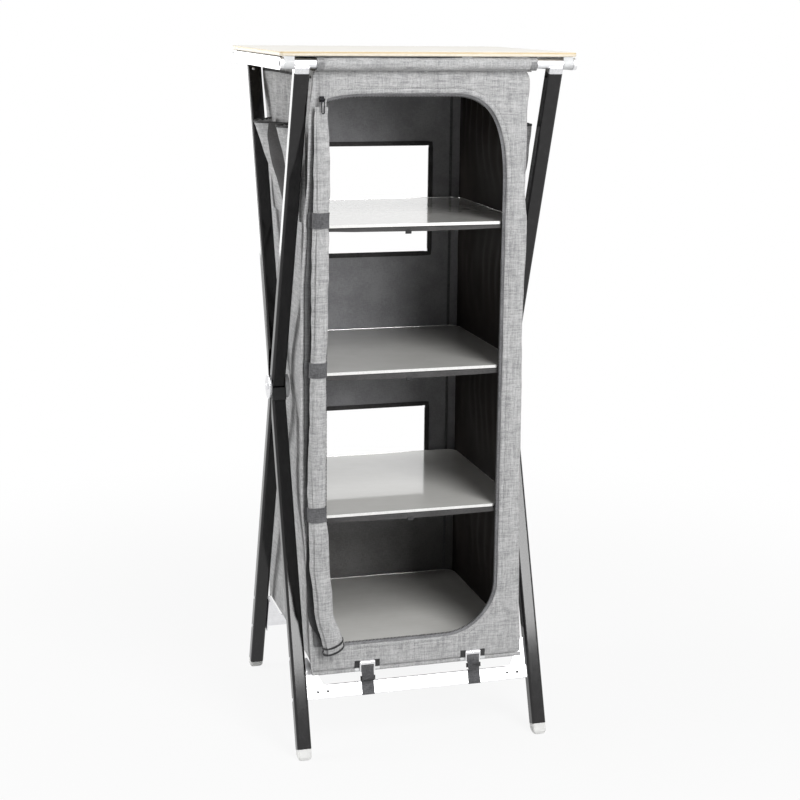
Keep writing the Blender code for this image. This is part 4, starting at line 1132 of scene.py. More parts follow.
# %% Sleeves
RAIL_Z, RAIL_Y = 1.412, 0.242
SLEEVE_LEFT, SLEEVE_RIGHT = -0.2285, 0.2165
SLEEVE_AROUND = 28
RAILS = (("front", -RAIL_Y, "frame_a"), ("back", RAIL_Y, "frame_b"))


def sleeve_rows(y_middle):
    """Rings of cloth along a rail, a little wider where the ends are hemmed."""
    rows = []
    for x in steps(SLEEVE_LEFT, SLEEVE_RIGHT, 110):
        end = min(x - SLEEVE_LEFT, SLEEVE_RIGHT - x)
        ring_lift = 0.0007 * (1.0 - ease(0.010, 0.014, end))
        ring_lift += 0.0003 * math.exp(-((end - 0.0125) / 0.002) ** 2)
        row = []
        for k in range(SLEEVE_AROUND):
            angle = 2 * math.pi * k / SLEEVE_AROUND
            u, v = math.cos(angle), math.sin(angle)
            wrinkle = 0.0007 * soft_noise(x, u * 0.013, v * 0.013, 0.011, 3.0) * ease(0.012, 0.03, end)
            long_fold = 0.0005 * math.sin(3 * angle + x * 30)
            radius = 0.0121 + ring_lift + wrinkle + long_fold
            row.append((x, y_middle + radius * u, RAIL_Z + radius * v))
        rows.append(row)
    return rows


def from_rail(y_middle):
    """Gives the direction away from a rail's middle line."""
    return lambda point: Vector((0, point.y - y_middle, point.z - RAIL_Z))


for word, y, body in RAILS:
    sleeve = cloth(word + "_sleeve_cloth", sleeve_rows(y), GREY_CLOTH, 0.0012, True, from_rail(y))
    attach(sleeve, body)
    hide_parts(word + "_sleeve")
    word + "_rail"
    tell(sleeve)

# %% [markdown]
# ## Gathered rings at the sleeves' ends
# At either end a sleeve is drawn together by a hem with small gathers. It could be a part of the sleeve, but
# as a ring of its own it has a clear step and a darker finish. Nine small waves round it are the gathers.

# %% Hemmed rings at the sleeves' ends
RING_ENDS = (("left", -0.2288, -0.2142), ("right", 0.2022, 0.2168))


def sleeve_ring_rows(low, high, y_middle):
    """Rings round a rail from low to high, with gathers, drawn in at both edges."""
    rows = []
    for x in steps(low, high, 8):
        near = min(x - low, high - x)
        row = []
        for k in range(SLEEVE_AROUND):
            angle = 2 * math.pi * k / SLEEVE_AROUND
            gather = 0.0004 * math.sin(9 * angle + x * 60)
            radius = 0.0132 + gather - 0.0010 * (1.0 - ease(0.0, 0.0022, near))
            row.append((x, y_middle + radius * math.cos(angle), RAIL_Z + radius * math.sin(angle)))
        rows.append(row)
    return rows


for word, y, body in RAILS:
    for end, low, high in RING_ENDS:
        name = "%s_sleeve_ring_%s" % (word, end)
        ring = cloth(name, sleeve_ring_rows(low, high, y), RING_CLOTH, 0.0007, True, from_rail(y))
        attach(ring, body)
        tell(ring)

# %% [markdown]
# ## Strips between the sleeves and the cabinet
# Each sleeve is sewn to the cabinet's top edge by a narrow strip of cloth. The sleeve goes with its rail
# and the panel with the cabinet, so a strip that rode on one of them would tear away from the other when
# the frame folds. So the strip rides on neither of them.

# %% Strips between the sleeves and the cabinet


def header_rows(y_rail, y_panel):
    """From the panel's top edge, up behind the seam, onto the lower side of the sleeve."""
    sign = -1 if y_rail < 0 else 1
    end = RIGHT - 0.014 if sign < 0 else RIGHT - 0.004
    rows = []
    for share in steps(0.0, 1.0, 6):
        row = []
        for x in steps(LEFT + 0.004, end, 60):
            wave = 0.0008 * soft_noise(x, share, 0, 0.018, 4.0)
            y = y_panel + (y_rail + sign * 0.0085 - y_panel) * share ** 1.3
            z = 1.3978 + 0.0055 * share
            row.append((x, y + wave * math.sin(math.pi * share), z))
        rows.append(row)
    return rows


for word, rail_y, body in RAILS:
    sign = -1 if rail_y < 0 else 1
    panel_y = FRONT + 0.001 if rail_y < 0 else BACK - 0.001
    rows = header_rows(rail_y, panel_y)
    strip = cloth(word + "_header_strip", rows, GREY_CLOTH, 0.0010, False, (0, sign, 0.2))
    word + "_sleeve_cloth"
    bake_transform(strip)
    tell(strip)

# %% [markdown]
# ## Slings under the shelves
# The three upper shelves lie on cloth floors sewn to the walls. At the front each has a hem that hangs a
# little lower in the middle, with a small pull tab. The floor and its hanging lip could be two pieces, but a
# seam would show between them, so they are one sheet that is bent down over the front edge.

# %% Slings
SLING_FRONT, SLING_BACK = -0.2215, 0.2287
SLING_SIDE = 0.0028
# A shelf's thickness and the little air under it
SHELF_DEEP = 0.0063
# Rows of the lip: how far down in metres, how far down as a share of the lip, and how far back
LIP_ROWS = ((0.0006, 0.0, 0.0016), (0.0022, 0.0, 0.0), (0.0, 0.3, -0.0002), (0.0, 0.62, 0.0004),
            (0.0, 0.86, 0.0002), (0.0, 1.0, 0.0006))
# The pull tab of each sling: its X, and how far its foot lies below the sling
TABS = ((-0.036, 0.0100), (-0.030, 0.0125), (-0.024, 0.0125))


def sling_rows(top):
    """A sling from its back edge forwards and down over the front edge."""
    rows = []
    right = RIGHT - SLING_SIDE
    across = steps(LEFT + SLING_SIDE, right, 40)
    for y in steps(SLING_BACK, SLING_FRONT + 0.004, 16):
        pull = (right - through(RIGHT_EDGE, top) + 0.0015) * (1.0 - ease(FRONT, FRONT + 0.046, y))
        rows.append([(min(x, right - pull), y, top - 0.0002) for x in across])
    tight = through(RIGHT_EDGE, top) - 0.0045
    for fixed, part, behind in LIP_ROWS:
        row = []
        for x in across:
            share = 2.0 * (x - across[0]) / (across[-1] - across[0]) - 1.0
            deepest = 0.0055 if top > 1.0 else 0.0085
            lip = deepest + 0.0040 * (1.0 - share * share) + 0.0008 * soft_noise(x, 0, top, 0.03, 2.0)
            deep = fixed + part * lip
            wave = 0.0012 * soft_noise(x, top, 0, 0.024, 7.0) * min(deep / lip, 1.0)
            y = SLING_FRONT + behind + max(wave, -0.0006)
            row.append((min(x, tight + 0.003 * share), y, top - deep))
        rows.append(row)
    return rows


for number, (height, (x, drop)) in enumerate(zip(SHELVES, TABS), 1):
    top = height - SHELF_DEEP
    sling = cloth("shelf_sling_cloth_%d" % number, sling_rows(top), SLING_AND_PAINTED_SHADE_CLOTH, 0.0016, False, (0, -0.2, 1))
    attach(sling, "cabinet")
    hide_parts("shelf_sling_%d" % number)
    foot = top - drop
    tab_path = [(x, SLING_FRONT - 0.0008, foot + 0.0020), (x, SLING_FRONT - 0.0022, foot + 0.0006),
                (x, SLING_FRONT - 0.0022, foot - 0.0014), (x, SLING_FRONT - 0.0006, foot - 0.0030)]
    tab = swept("sling_tab_%d" % number, tab_path, 0.012, 0.0026, BINDING_AND_PAINTED_SHADOW, (0, -1, 0))
    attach(tab, "cabinet")
    tell(sling, tab)

# %% [markdown]
# ## Bright rims of the shelf boards
# A bright metal band closes each shelf's edge and goes round its corners. A second finish on the board's
# own edge faces would be flat, while a thin band in front of them catches the light along its own edges.
# Its path comes from the board's box, so the same function fits all four.

# %% Bright rims of the shelf boards
RIM_CORNER = 0.026


def rim_path(low, high, z):
    """A closed path round a board at a height, with rounded corners."""
    x0, x1 = low.x + RIM_CORNER, high.x - RIM_CORNER
    y0, y1 = low.y + RIM_CORNER, high.y - RIM_CORNER
    around = (RIM_CORNER, RIM_CORNER)
    path = arc((x1, y0), around, -90, 0, 8) + arc((x1, y1), around, 0, 90, 8)
    path += arc((x0, y1), around, 90, 180, 8) + arc((x0, y0), around, 180, 270, 8)
    return [(x, y, z) for x, y in path]


def from_shelf(low, high):
    """Gives the direction away from a board's edge, which turns at the corners."""
    def outwards(point):
        x = min(max(point.x, low.x + RIM_CORNER), high.x - RIM_CORNER)
        y = min(max(point.y, low.y + RIM_CORNER), high.y - RIM_CORNER)
        return Vector((point.x - x, point.y - y, 0.0))
    return outwards


for number in range(1, 5):
    low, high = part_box("shelf_board_%d" % number)
    path = rim_path(low, high, high.z - 0.0026)
    rim = swept("shelf_rim_%d" % number, path, 0.0060, 0.0012, SHELF_EDGE, from_shelf(low, high), True)
    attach(rim, "cabinet")
    tell(rim)

# %% [markdown]
# ## The rolled door
# The door is unzipped all round but at its left edge, rolled up towards it and tied. A roll of cloth isn't a
# cylinder: it is a flattened spiral whose free edge shows as a step down its length, it is pinched where it
# is tied, and it spreads where it isn't. Its cross section is therefore a spiral with a step, carried up the
# roll's centre line.

# %% Shape of the roll
ROLL_LOW, ROLL_HIGH = 0.226, 1.330
ROLL_MIDDLE = -0.196
ROLL_BACK = -0.2367
TIES = [1.113, 0.817, 0.521]
# Places up the roll as shares of its length, each with its middle's X offset, half width and half depth
ROLL_PLACES = [(0.0, 0.0025, 0.0225, 0.0140), (0.085, -0.0190, 0.0212, 0.0150),
               (0.176, -0.0285, 0.0220, 0.0150), (0.339, -0.0350, 0.0208, 0.0145),
               (0.475, -0.0310, 0.0200, 0.0140), (0.656, -0.0275, 0.0192, 0.0138),
               (0.882, -0.0240, 0.0185, 0.0130), (1.0, -0.0235, 0.0165, 0.0045)]


def roll_shape(z):
    """The roll at a height: middle X, half width, half depth, and how near a tie is, from 0 to 1."""
    share = (z - ROLL_LOW) / (ROLL_HIGH - ROLL_LOW)
    middle, half, deep = (through([(row[0], row[i]) for row in ROLL_PLACES], share) for i in (1, 2, 3))
    squeeze = min(sum(math.exp(-((z - tie) / 0.030) ** 2) for tie in TIES), 1.0)
    tighter = 1.0 - 0.12 * squeeze
    return ROLL_MIDDLE + middle, half * tighter, deep * tighter, squeeze


def roll_ring(z, grow, count=44, step=True):
    """The roll's outline at a height, counted from its free edge round to the layer below it."""
    middle, half, deep, squeeze = roll_shape(z)
    edge = math.radians(236 + 7 * soft_noise(0, 0, z, 0.25, 2.0))
    ring = []
    for k in range(count):
        turn = k / (count - 1)
        angle = edge + 2 * math.pi * turn
        layer = 0.0028 * turn * (1.0 - 0.75 * squeeze) if step else 0.0
        wrinkle = 0.0016 * soft_noise(math.cos(angle) * 0.02, math.sin(angle) * 0.02, z * 0.55, 0.014, 1.0)
        wrinkle += 0.0010 * math.sin(2.2 * angle + 9 * z)
        inset = layer + 0.0012 + (wrinkle * (1.0 - 0.7 * squeeze) if step else 0.0)
        u = (half + grow - inset) * math.cos(angle)
        v = (deep + grow - inset) * math.sin(angle)
        y = ROLL_BACK - deep + v
        near_foot = 1.0 - ease(ROLL_LOW + 0.02, ROLL_LOW + 0.09, z)
        tilt = (0.0075 * math.cos(angle) + 0.0045 * math.sin(angle)) * near_foot
        ring.append((middle + u, min(y, ROLL_BACK), z + tilt))
    return ring


def from_roll(point):
    """The level direction away from the roll's middle line."""
    return Vector((point.x - roll_shape(point.z)[0], point.y - ROLL_BACK + 0.014, 0))


print("The roll is %.0f mm wide at its upper tie" % (2000 * roll_shape(TIES[0])[1]))

# %% Cloth of the roll


def closed_roll(name, rows, finish):
    """A closed body through the rings, with a flat spiral end at either side."""
    mesh = grid_mesh(name, rows, True, from_roll)
    body = bmesh.new()
    body.from_mesh(mesh)
    wide = len(rows[0])
    body.verts.ensure_lookup_table()
    ends = [(body.verts[:wide], ROLL_LOW), (body.verts[-wide:], ROLL_HIGH)]
    for loop, z in ends:
        middle = sum((v.co for v in loop), Vector()) / wide
        for share, push in ((0.80, 0.0022), (0.55, 0.0008), (0.30, 0.0026)):
            lift = push if z == ROLL_LOW else -push
            inner = [body.verts.new(middle + (v.co - middle) * share + Vector((0, 0, lift))) for v in loop]
            for k in range(wide):
                d = (k + 1) % wide
                body.faces.new((loop[k], loop[d], inner[d], inner[k]))
            loop = inner
        body.faces.new(loop)
    bmesh.ops.recalc_face_normals(body, faces=body.faces)
    body.to_mesh(mesh)
    body.free()
    mesh.shade_smooth()
    mesh.set_sharp_from_angle(angle=math.radians(38))
    return add_piece(name, mesh, finish)


roll_heights = steps(ROLL_LOW, ROLL_HIGH, 150)
door_roll = closed_roll("door_roll_cloth", [roll_ring(z, 0.0) for z in roll_heights], GREY_CLOTH)
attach(door_roll, "cabinet")
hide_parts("door_roll")
tell(door_roll)

# %% [markdown]
# ## Ties and foot bands of the roll
# Three webbing ties hold the roll, each with a tab sewn to the front panel's left edge, and two narrow dark
# bands show at the roll's foot. A band could be an oval fitted by eye. Here it is the roll's own outline at
# its height, taken a little further out, so it lies close everywhere and still fits when the roll changes.

# %% Dark bands at the roll's foot, and its ties
TIE_HALF = 0.0150
FOOT_BANDS = (0.2300, 0.2430)


def roll_band(name, levels, grow, thick, finish):
    """A closed band round the roll, on its outline at each of the levels."""
    rows = [roll_ring(z, grow + thick, 40, False)[:-1] for z in levels]
    band = cloth(name, rows, finish, thick, True, from_roll)
    tell(band)
    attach(band, "cabinet")
    return band


for number, tie in enumerate(TIES, 1):
    levels = steps(tie - TIE_HALF, tie + TIE_HALF, 6)
    band = roll_band("roll_tie_cloth_%d" % number, levels, 0.0006, 0.0012, WEBBING)
    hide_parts("roll_tie_%d" % number)
    start = through(LEFT_EDGE, tie) + 0.0045
    tab_path = [(start, FRONT - 0.0030, tie), (start + 0.006, FRONT - 0.0040, tie),
                (start + 0.013, FRONT - 0.0056, tie), (roll_shape(tie)[0] - 0.010, ROLL_BACK + 0.0012, tie)]
    tab = swept("roll_tie_tab_%d" % number, tab_path, 0.0290, 0.0014, WEBBING, (0, -1, 0))
    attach(tab, "cabinet")
for number, z in enumerate(FOOT_BANDS, 1):
    roll_band("roll_foot_band_%d" % number, steps(z - 0.0020, z + 0.0020, 2), 0.0004, 0.0011, BINDING_AND_PAINTED_SHADOW)

# %% [markdown]
# ## Cloth beside the roll
# Between the panel's left edge and the roll lies the part of the door that isn't rolled up. It lies in
# shade, so its cloth is a darker copy of the grey: painted shade. Right beside the roll a near-black strip
# stands for the deep shadow there, as painted shadow. A dark line in the panel's finish would have no depth,
# so both are narrow sheets in front of the panel. Each starts at a line of its own and ends behind the roll.

# %% Cloth between the panel's edge and the roll


def roll_side(z):
    """The X of the roll's left side at a height."""
    middle, half = roll_shape(min(max(z, ROLL_LOW), ROLL_HIGH))[:2]
    return middle - half


def base_cloth_start(z):
    """The cloth starts beside the panel's left edge."""
    return through(LEFT_EDGE, z) + 0.0060


def painted_shadow_start(z):
    """The painted shadow strip follows the roll, but near its foot it runs further out."""
    start = roll_side(z) + 0.0058 - 0.0016 * ease(-1.345, -1.28, -z)
    start -= 0.0150 * (1.0 - ease(0.27, 0.52, z)) * ease(0.232, 0.285, z)
    return start + 0.0012 * soft_noise(0, 0, z, 0.05, 3.0)


def door_base_rows(low, high, start, ahead):
    """A narrow upright strip, so far ahead of the panel, from its start to a line behind the roll."""
    rows = []
    for z in steps(low, high, 100):
        row = []
        a, b = start(z), roll_side(z) + 0.012
        for k in range(5):
            y = FRONT - ahead + 0.0008 * soft_noise(k * 0.01, 0, z, 0.05, 4.0)
            row.append((a + (b - a) * k / 4, y, z))
        rows.append(row)
    return rows


# Both strips are painted: the darker cloth is painted shade, the near-black strip beside the roll painted
# shadow
for word, low, high, start, ahead, finish, width in (
        ("door_base_cloth", 0.232, 1.215, base_cloth_start, 0.0016, PAINTED_SHADE_AND_SEAM_CLOTH, 0.0165),
        ("door_base_painted_shadow", 0.236, 1.330, painted_shadow_start, 0.0030, BINDING_AND_PAINTED_SHADOW, 0.0120)):
    strip = cloth(word, door_base_rows(low, high, start, ahead), finish, 0.0009, False, (0, -1, 0))
    tell(strip)
    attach(strip, "cabinet")
    high - low

# %% [markdown]
# ## Side pockets
# Two pouches sit side by side on each wall. A pouch is narrow at its foot, stands away from the wall at its
# open top and is sewn down at both sides and in the middle. The two could be separate bags, but the outer
# cloth is one sheet that goes over both, so a single function gives its distance from the wall. It has a
# bound top edge. A dark sheet in the steep front of the back pouch is painted shade for the groove between
# the pouches. The legs pass close to the wall, so the cloth is held back where they cross it.

# %% Shape of the pockets
POCKET_LOW, POCKET_HIGH = 1.095, 1.285
POCKET_HALF = 0.165
POCKET_SEAM = -0.030
POCKET_ROWS = 20
HUB_Z = 0.731
LEG_SLOPE = math.tan(math.radians(19.563))
LEG_HALF = 0.0138


def leg_room(y, z):
    """How far a pocket may stand out beside the legs, which cross each wall's outer side."""
    apart = (z - HUB_Z) * LEG_SLOPE
    near = min(y + apart - LEG_HALF, apart - LEG_HALF - y)
    return 0.0085 + 0.0600 * ease(0.001, 0.020, near)


def pocket_swell(share, y, side):
    """How far a pouch stands out: steep at its front, broad and nearly flat outside, sloping back behind."""
    z = POCKET_LOW + (POCKET_HIGH - POCKET_LOW) * share
    back_pouch = y >= POCKET_SEAM
    start = POCKET_SEAM if back_pouch else -POCKET_HALF
    length = POCKET_HALF - POCKET_SEAM if back_pouch else POCKET_SEAM + POCKET_HALF
    q = min((y - start) / length, 1.0)
    rise, crest, shoulder = (0.215, 0.40, 0.86) if back_pouch else (0.17, 0.50, 0.77)
    if q < rise:
        shape = shoulder * ease(-0.25, 1.0, q / rise) - shoulder * ease(-0.25, 1.0, 0.0) * (1.0 - q / rise)
    elif q < crest:
        shape = shoulder + (1.0 - shoulder) * math.sin(math.pi / 2 * (q - rise) / (crest - rise))
    else:
        shape = ((1.0 - q) / (1.0 - crest)) ** 1.10
    peak = (0.0600 if back_pouch else 0.0435) * (1.0 if side < 0 else 0.50 if back_pouch else 0.76)
    return min(0.0040 + (0.0015 + peak * share ** (1.15 if side < 0 else 0.60)) * shape, leg_room(y, z))


def pocket_stations():
    """Places along the wall, closer together at each pouch's steep front."""
    pouch = steps(0.0, 0.17, 9)[:-1] + steps(0.17, 0.55, 10)[:-1] + steps(0.55, 1.0, 9)
    front = [-POCKET_HALF + (POCKET_SEAM + POCKET_HALF) * q for q in pouch[:-1]]
    return front + [POCKET_SEAM + (POCKET_HALF - POCKET_SEAM) * q for q in pouch]


def pocket_rows(side):
    """Both pouches of a wall from the foot up. side is -1 on the left and 1 on the right."""
    rows = []
    wall = (LEFT if side < 0 else RIGHT) + side * 0.0003
    for share in steps(0.0, 1.0, POCKET_ROWS):
        z = POCKET_LOW + (POCKET_HIGH - POCKET_LOW) * share
        row = []
        for y in pocket_stations():
            swell = pocket_swell(share, y, side)
            crease = 0.0040 * soft_noise(0, y, z * 0.35, 0.016, 3.0 + side) * ease(0.010, 0.03, swell)
            rim = 0.0014 * soft_noise(0, y, 0, 0.03, 9.0) * ease(0.8, 1.0, share)
            row.append((wall + side * (swell - 0.0006 + crease), y, z + rim))
        rows.append(row)
    return rows


def along_row(row, y):
    """The point of a pocket's row at a place along the wall."""
    for (x, before, z), (next_x, after, next_z) in zip(row, row[1:]):
        if y <= after:
            break
    part = (y - before) / (after - before)
    return x + (next_x - x) * part, y, z + (next_z - z) * part


print("The left back pouch stands out by up to %.0f mm" % (1000 * pocket_swell(1.0, 0.045, -1)))

# %% Cloth of the pockets


def painted_shade_rows(rows, side):
    """The painted shade sheet on a pocket's rows, but for the lowest two. It gets narrower towards the open
    top.
    """
    made = []
    for number, row in enumerate(rows[2:], 2):
        behind = 0.0125 - 0.0165 * max(0.0, (number / POCKET_ROWS - 0.68) / 0.32)
        places = [along_row(row, y) for y in steps(-0.0285, behind, 24)]
        made.append([(x + side * 0.0007, y - 0.0009, z) for x, y, z in places])
    return made


for side, word in ((-1, "left"), (1, "right")):
    rows = pocket_rows(side)
    pocket = cloth("pocket_cloth_" + word, rows, GREY_CLOTH, 0.0014, False, (side, 0, 0))
    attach(pocket, "cabinet")
    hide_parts("pocket_" + word)
    LEFT if side < 0 else RIGHT
    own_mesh(pocket)
    trim = swept("pocket_trim_" + word, rows[-1], 0.0040, 0.0022, BINDING_AND_PAINTED_SHADOW, (side, 0, 0), grow=-0.0004)
    # Painted shade: a dark sheet on the back pouch's steep front, for the groove between the pouches
    cut = painted_shade_rows(rows, side)
    painted_shade_patch = cloth("pocket_painted_shade_" + word, cut, SLING_AND_PAINTED_SHADE_CLOTH, 0.0005, False, (side * 0.4, -1, 0))
    "pocket_cloth_" + word
    for piece in (trim, painted_shade_patch):
        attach(piece, "cabinet")
        LEFT if side < 0 else RIGHT
        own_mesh(piece)
    tell(pocket, trim, painted_shade_patch)

# %% [markdown]
# ## Hem and straps
# The bottom edge of the front is a tunnel with a rod in it, held down to the lower bar by two straps. Each
# strap goes through a buckle and round the bar, so it joins the cabinet to the frame. It can't ride on
# either of them alone, so it rides on neither. Under each strap the tunnel is open and shows its pale
# rod.

# %% Hem tunnel
HEM_ROD_Y, HEM_ROD_Z = FRONT + 0.0042, 0.1715


def from_hem(point):
    """Away from the rod's middle line."""
    return Vector((0, point.y - HEM_ROD_Y, point.z - HEM_ROD_Z))


def hem_rows():
    """Rings of cloth along the rod."""
    rows = []
    for x in steps(LEFT - 0.0045, RIGHT + 0.0045, 90):
        row = []
        for k in range(16):
            angle = 2 * math.pi * k / 16
            radius = 0.0041 + 0.0003 * soft_noise(x, k * 0.002, 0, 0.012, 1.0)
            row.append((x, HEM_ROD_Y + radius * math.cos(angle), HEM_ROD_Z + radius * math.sin(angle)))
        rows.append(row)
    return rows


hem = cloth("hem_tunnel_cloth", hem_rows(), GREY_CLOTH, 0.0010, True, from_hem)
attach(hem, "cabinet")
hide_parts("hem_rod")
tell(hem)

# %% Path of a strap
LEAN = math.atan2(0.242, 0.681)
HUB = Vector((0.0, 0.0, HUB_Z))
BAR_DOWN = 0.644
SLANT_TOP, SLANT_FOOT = 0.1640, 0.1385
FRONTWARD = Vector((0, -1, 0.15))
# Each strap: its X, how far its foot is shifted, and the heights of its keeper and of its folded end
STRAPS = ((-0.1175, 0.0062, 0.1500, 0.1440), (0.113, 0.0090, 0.1570, 0.1590))


def on_leg(lean, x, out, down):
    """A place near a leg: down its length from the hub, out of its face. lean is 1 for A and -1 for B."""
    run = Vector((0, lean * math.sin(LEAN), -math.cos(LEAN)))
    face = Vector((0, -math.cos(LEAN), -lean * math.sin(LEAN)))
    return Vector((x, 0, 0)) + HUB + run * down + face * out


def strap_path(x, shift):
    """From inside the buckle, over its lower edge, slanting down to the bar and round it."""
    out = 0.0010
    near, far = 0.0050 + out, 0.0010 - out
    round_bar = ((-0.0150, near), (0.0, near + 0.0003), (0.0150, near),
                 (0.0150, far), (0.0, far - 0.0003), (-0.0150, far))
    low = [on_leg(-1, x + shift, outwards, BAR_DOWN + down) for down, outwards in round_bar]
    ahead = FRONT - 0.0042
    upper = [Vector((x, ahead + 0.0016, 0.1822)), Vector((x, ahead, 0.1790)), Vector((x, ahead, 0.1700)),
             Vector((x + 0.15 * shift, ahead + 0.0012, SLANT_TOP)),
             Vector((x + 0.60 * shift, -0.2300, 0.1500))]
    return upper + low


def crosswise(x, y, z, half):
    """A level path along X, with its middle at a place."""
    return [Vector((x + half * k, y, z)) for k in (-1.0, -0.5, 0.0, 0.5, 1.0)]


print("A strap's path has", len(strap_path(0.0, 0.0)), "points")

# %% Straps, buckle bars and the bare rod
for number, (x, shift, keeper_z, fold_z) in enumerate(STRAPS, 1):
    strap = swept("strap_webbing_%d" % number, strap_path(x, shift), 0.0260, 0.0014, WEBBING, FRONTWARD)
    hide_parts("strap_%d" % number)
    crossings = [strap]
    for word, z, half, tall, thick, forward, finish in (
            ("strap_keeper_%d", keeper_z, 0.0158, 0.0090, 0.0020, -0.0022, BLACK_PLASTIC_AND_PAINTED_SHADOW),
            ("strap_fold_%d", fold_z, 0.0129, 0.0022, 0.0012, 0.0010, BINDING_AND_PAINTED_SHADOW)):
        share = (SLANT_TOP - z) / (SLANT_TOP - SLANT_FOOT)
        place = (x + shift * (0.15 + 0.85 * share), -0.2375 + 0.0150 * share - forward, z)
        crossings.append(swept(word % number, crosswise(*place, half), tall, thick, finish, FRONTWARD))
    for piece in crossings:
        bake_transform(piece)
    for word, ahead, z, half, tall, thick, finish, rounded, slot in (
            ("hem_patch_%d", -0.0001, 0.1850, 0.0270, 0.0150, 0.0008, BINDING_AND_PAINTED_SHADOW, False, "dark_fabric"),
            ("bare_rod_%d", 0.0034, 0.1722, 0.0270, 0.0096, 0.0088, PALE_PLASTIC, True, "pale_plastic"),
            ("buckle_bar_%d", -0.0026, 0.1866, 0.0150, 0.0076, 0.0022, STEEL, True, "steel")):
        path = crosswise(x, FRONT + ahead, z, half)
        piece = swept(word % number, path, tall, thick, finish, (0, -1, 0), rounded=rounded)
        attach(piece, "cabinet")
    tell(*crossings)

# %% [markdown]
# ## Rivets and bolts
# The lower bars are riveted to the brackets, the brackets to the legs, and bolt heads show on each leg. All
# are domed heads set by the same tree. They could be an object each, but a head never moves on its own, so
# there is one object for each body that carries them.

# %% Rivets
RIVET_SIZE = (0.0056, 0.0056, 0.0028)
BOLT_SIZE = (0.0072, 0.0072, 0.0036)
FRONT_FACE_B = Vector((0, -math.cos(LEAN), math.sin(LEAN)))
BACK_FACE_A = Vector((0, math.cos(LEAN), math.sin(LEAN)))
rivets_b = []
rivets_a = []
for x in (-0.2188, -0.1975, 0.1969, 0.2196):
    rivets_b.append((on_leg(-1, x, 0.0052, BAR_DOWN), FRONT_FACE_B))
    rivets_a.append((on_leg(1, x, -0.0052, BAR_DOWN), BACK_FACE_A))
heads("bar_rivets_front", rivets_b, DARK_METAL, RIVET_SIZE, "frame_b")
heads("bar_rivets_back", rivets_a, DARK_METAL, RIVET_SIZE, "frame_a")
side_heads = {"frame_a": [], "frame_b": []}
for side in (-1, 1):
    for lean, body in ((1, "frame_a"), (-1, "frame_b")):
        for down in (0.5710, 0.6550):
            side_heads[body].append((on_leg(lean, side * 0.2722, 0.0, down), (side, 0, 0)))
    side_heads["frame_b"].append((on_leg(-1, side * 0.2600, 0.0131, -0.6910), FRONT_FACE_B))
for body, places in side_heads.items():
    heads("leg_bolt_heads_" + body, places, STEEL, BOLT_SIZE, body)

# %% [markdown]
# ## Painted shadow under the board
# A dark strip under the top board's front edge, above the rail, is painted shadow for the shade in the gap
# between the board and the rail's sleeve. A dark line in the board's finish would lie on its face, so the
# strip is a flat swept bar of its own, and it goes with the board when that lifts off.

# %% Painted shadow: dark strip under the board's front
strip_path = [(x, -0.2462, 1.4254) for x in steps(-0.270, 0.047, 12)]
under_board_shadow = swept("under_board_painted_shadow", strip_path, 0.0060, 0.0010, BLACK_PLASTIC_AND_PAINTED_SHADOW, (0, 0, 1))
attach(under_board_shadow, "board")
tell(under_board_shadow)

# %% [markdown]
# ## Camera
# The camera stands where the photograph was taken, left of the middle and a little above the top board. Its
# place came from matching known corners of the cupboard. Pointing it at a target would be simpler, but the
# photograph is also turned by a fraction of a degree, so the view is written out as three directions.

# %% Camera
FOCAL_PIXELS, PHOTO_WIDTH = 1660.24, 800
CAMERA_PLACE = (-0.9569, -3.3691, 1.5126)
CAMERA_ANGLES = (16.0719, 11.8899, 0.6425)
camera_data = bpy.data.cameras.new("camera")
camera_data.sensor_fit = "HORIZONTAL"
camera_data.sensor_width = 36.0
camera_data.lens = FOCAL_PIXELS / PHOTO_WIDTH * 36.0
camera_data.shift_y = -0.05
camera_data.clip_end = 100.0
camera = bpy.data.objects.new("camera", camera_data)
bpy.context.scene.collection.objects.link(camera)
yaw, pitch, roll = (math.radians(angle) for angle in CAMERA_ANGLES)
forward = Vector((math.sin(yaw) * math.cos(pitch), math.cos(yaw) * math.cos(pitch), -math.sin(pitch)))
level = Vector((math.cos(yaw), -math.sin(yaw), 0.0))
above = level.cross(forward)
right = level * math.cos(roll) + above * math.sin(roll)
up = above * math.cos(roll) - level * math.sin(roll)
turn = Matrix((right, up, -forward)).transposed().to_4x4()
camera.matrix_world = Matrix.Translation(CAMERA_PLACE) @ turn
bpy.context.scene.camera = camera
print("Lens %.1f mm" % camera_data.lens)

# %% [markdown]
# ## Room and light
# The cupboard stands in a bright white studio. A plain white world would light it so evenly that no fold
# shows. So the camera, mirror-like surfaces and what is seen through the milky feet get plain white, while
# the light that falls on the cloth is dimmer, and weakest from the front.

# %% World
WHITE = (1, 1, 1, 1)


def seen_directly(graph):
    """1 for the camera, for mirrored rays and for rays that go through a surface, and 0 for all others."""
    seen = graph.node("ShaderNodeLightPath", output="Is Camera Ray")
    for label in ("Is Glossy Ray", "Is Transmission Ray"):
        ray = graph.node("ShaderNodeLightPath", output=label)
        seen = graph.node("ShaderNodeMath", {"operation": "MAXIMUM"}, {0: seen, 1: ray})
    return seen


def build_world():
    world = bpy.data.worlds.new("studio")
    world.use_nodes = True
    bpy.context.scene.world = world
    world.node_tree.nodes.clear()
    room = Graph(world.node_tree)
    direction = room.node("ShaderNodeTexCoord", output="Generated")
    y = room.node("ShaderNodeSeparateXYZ", None, {0: direction}, "Y")
    z = room.node("ShaderNodeSeparateXYZ", None, {0: direction}, "Z")
    level_light = 0.40 + 0.24 * y + 0.02 * z
    seen = seen_directly(room)
    strength = level_light * (1 - seen) + seen
    glow = room.node("ShaderNodeBackground", None, {"Color": WHITE, "Strength": strength}, "Background")
    room.node("ShaderNodeOutputWorld", None, {"Surface": glow})


build_world()
print("World:", bpy.context.scene.world.name)

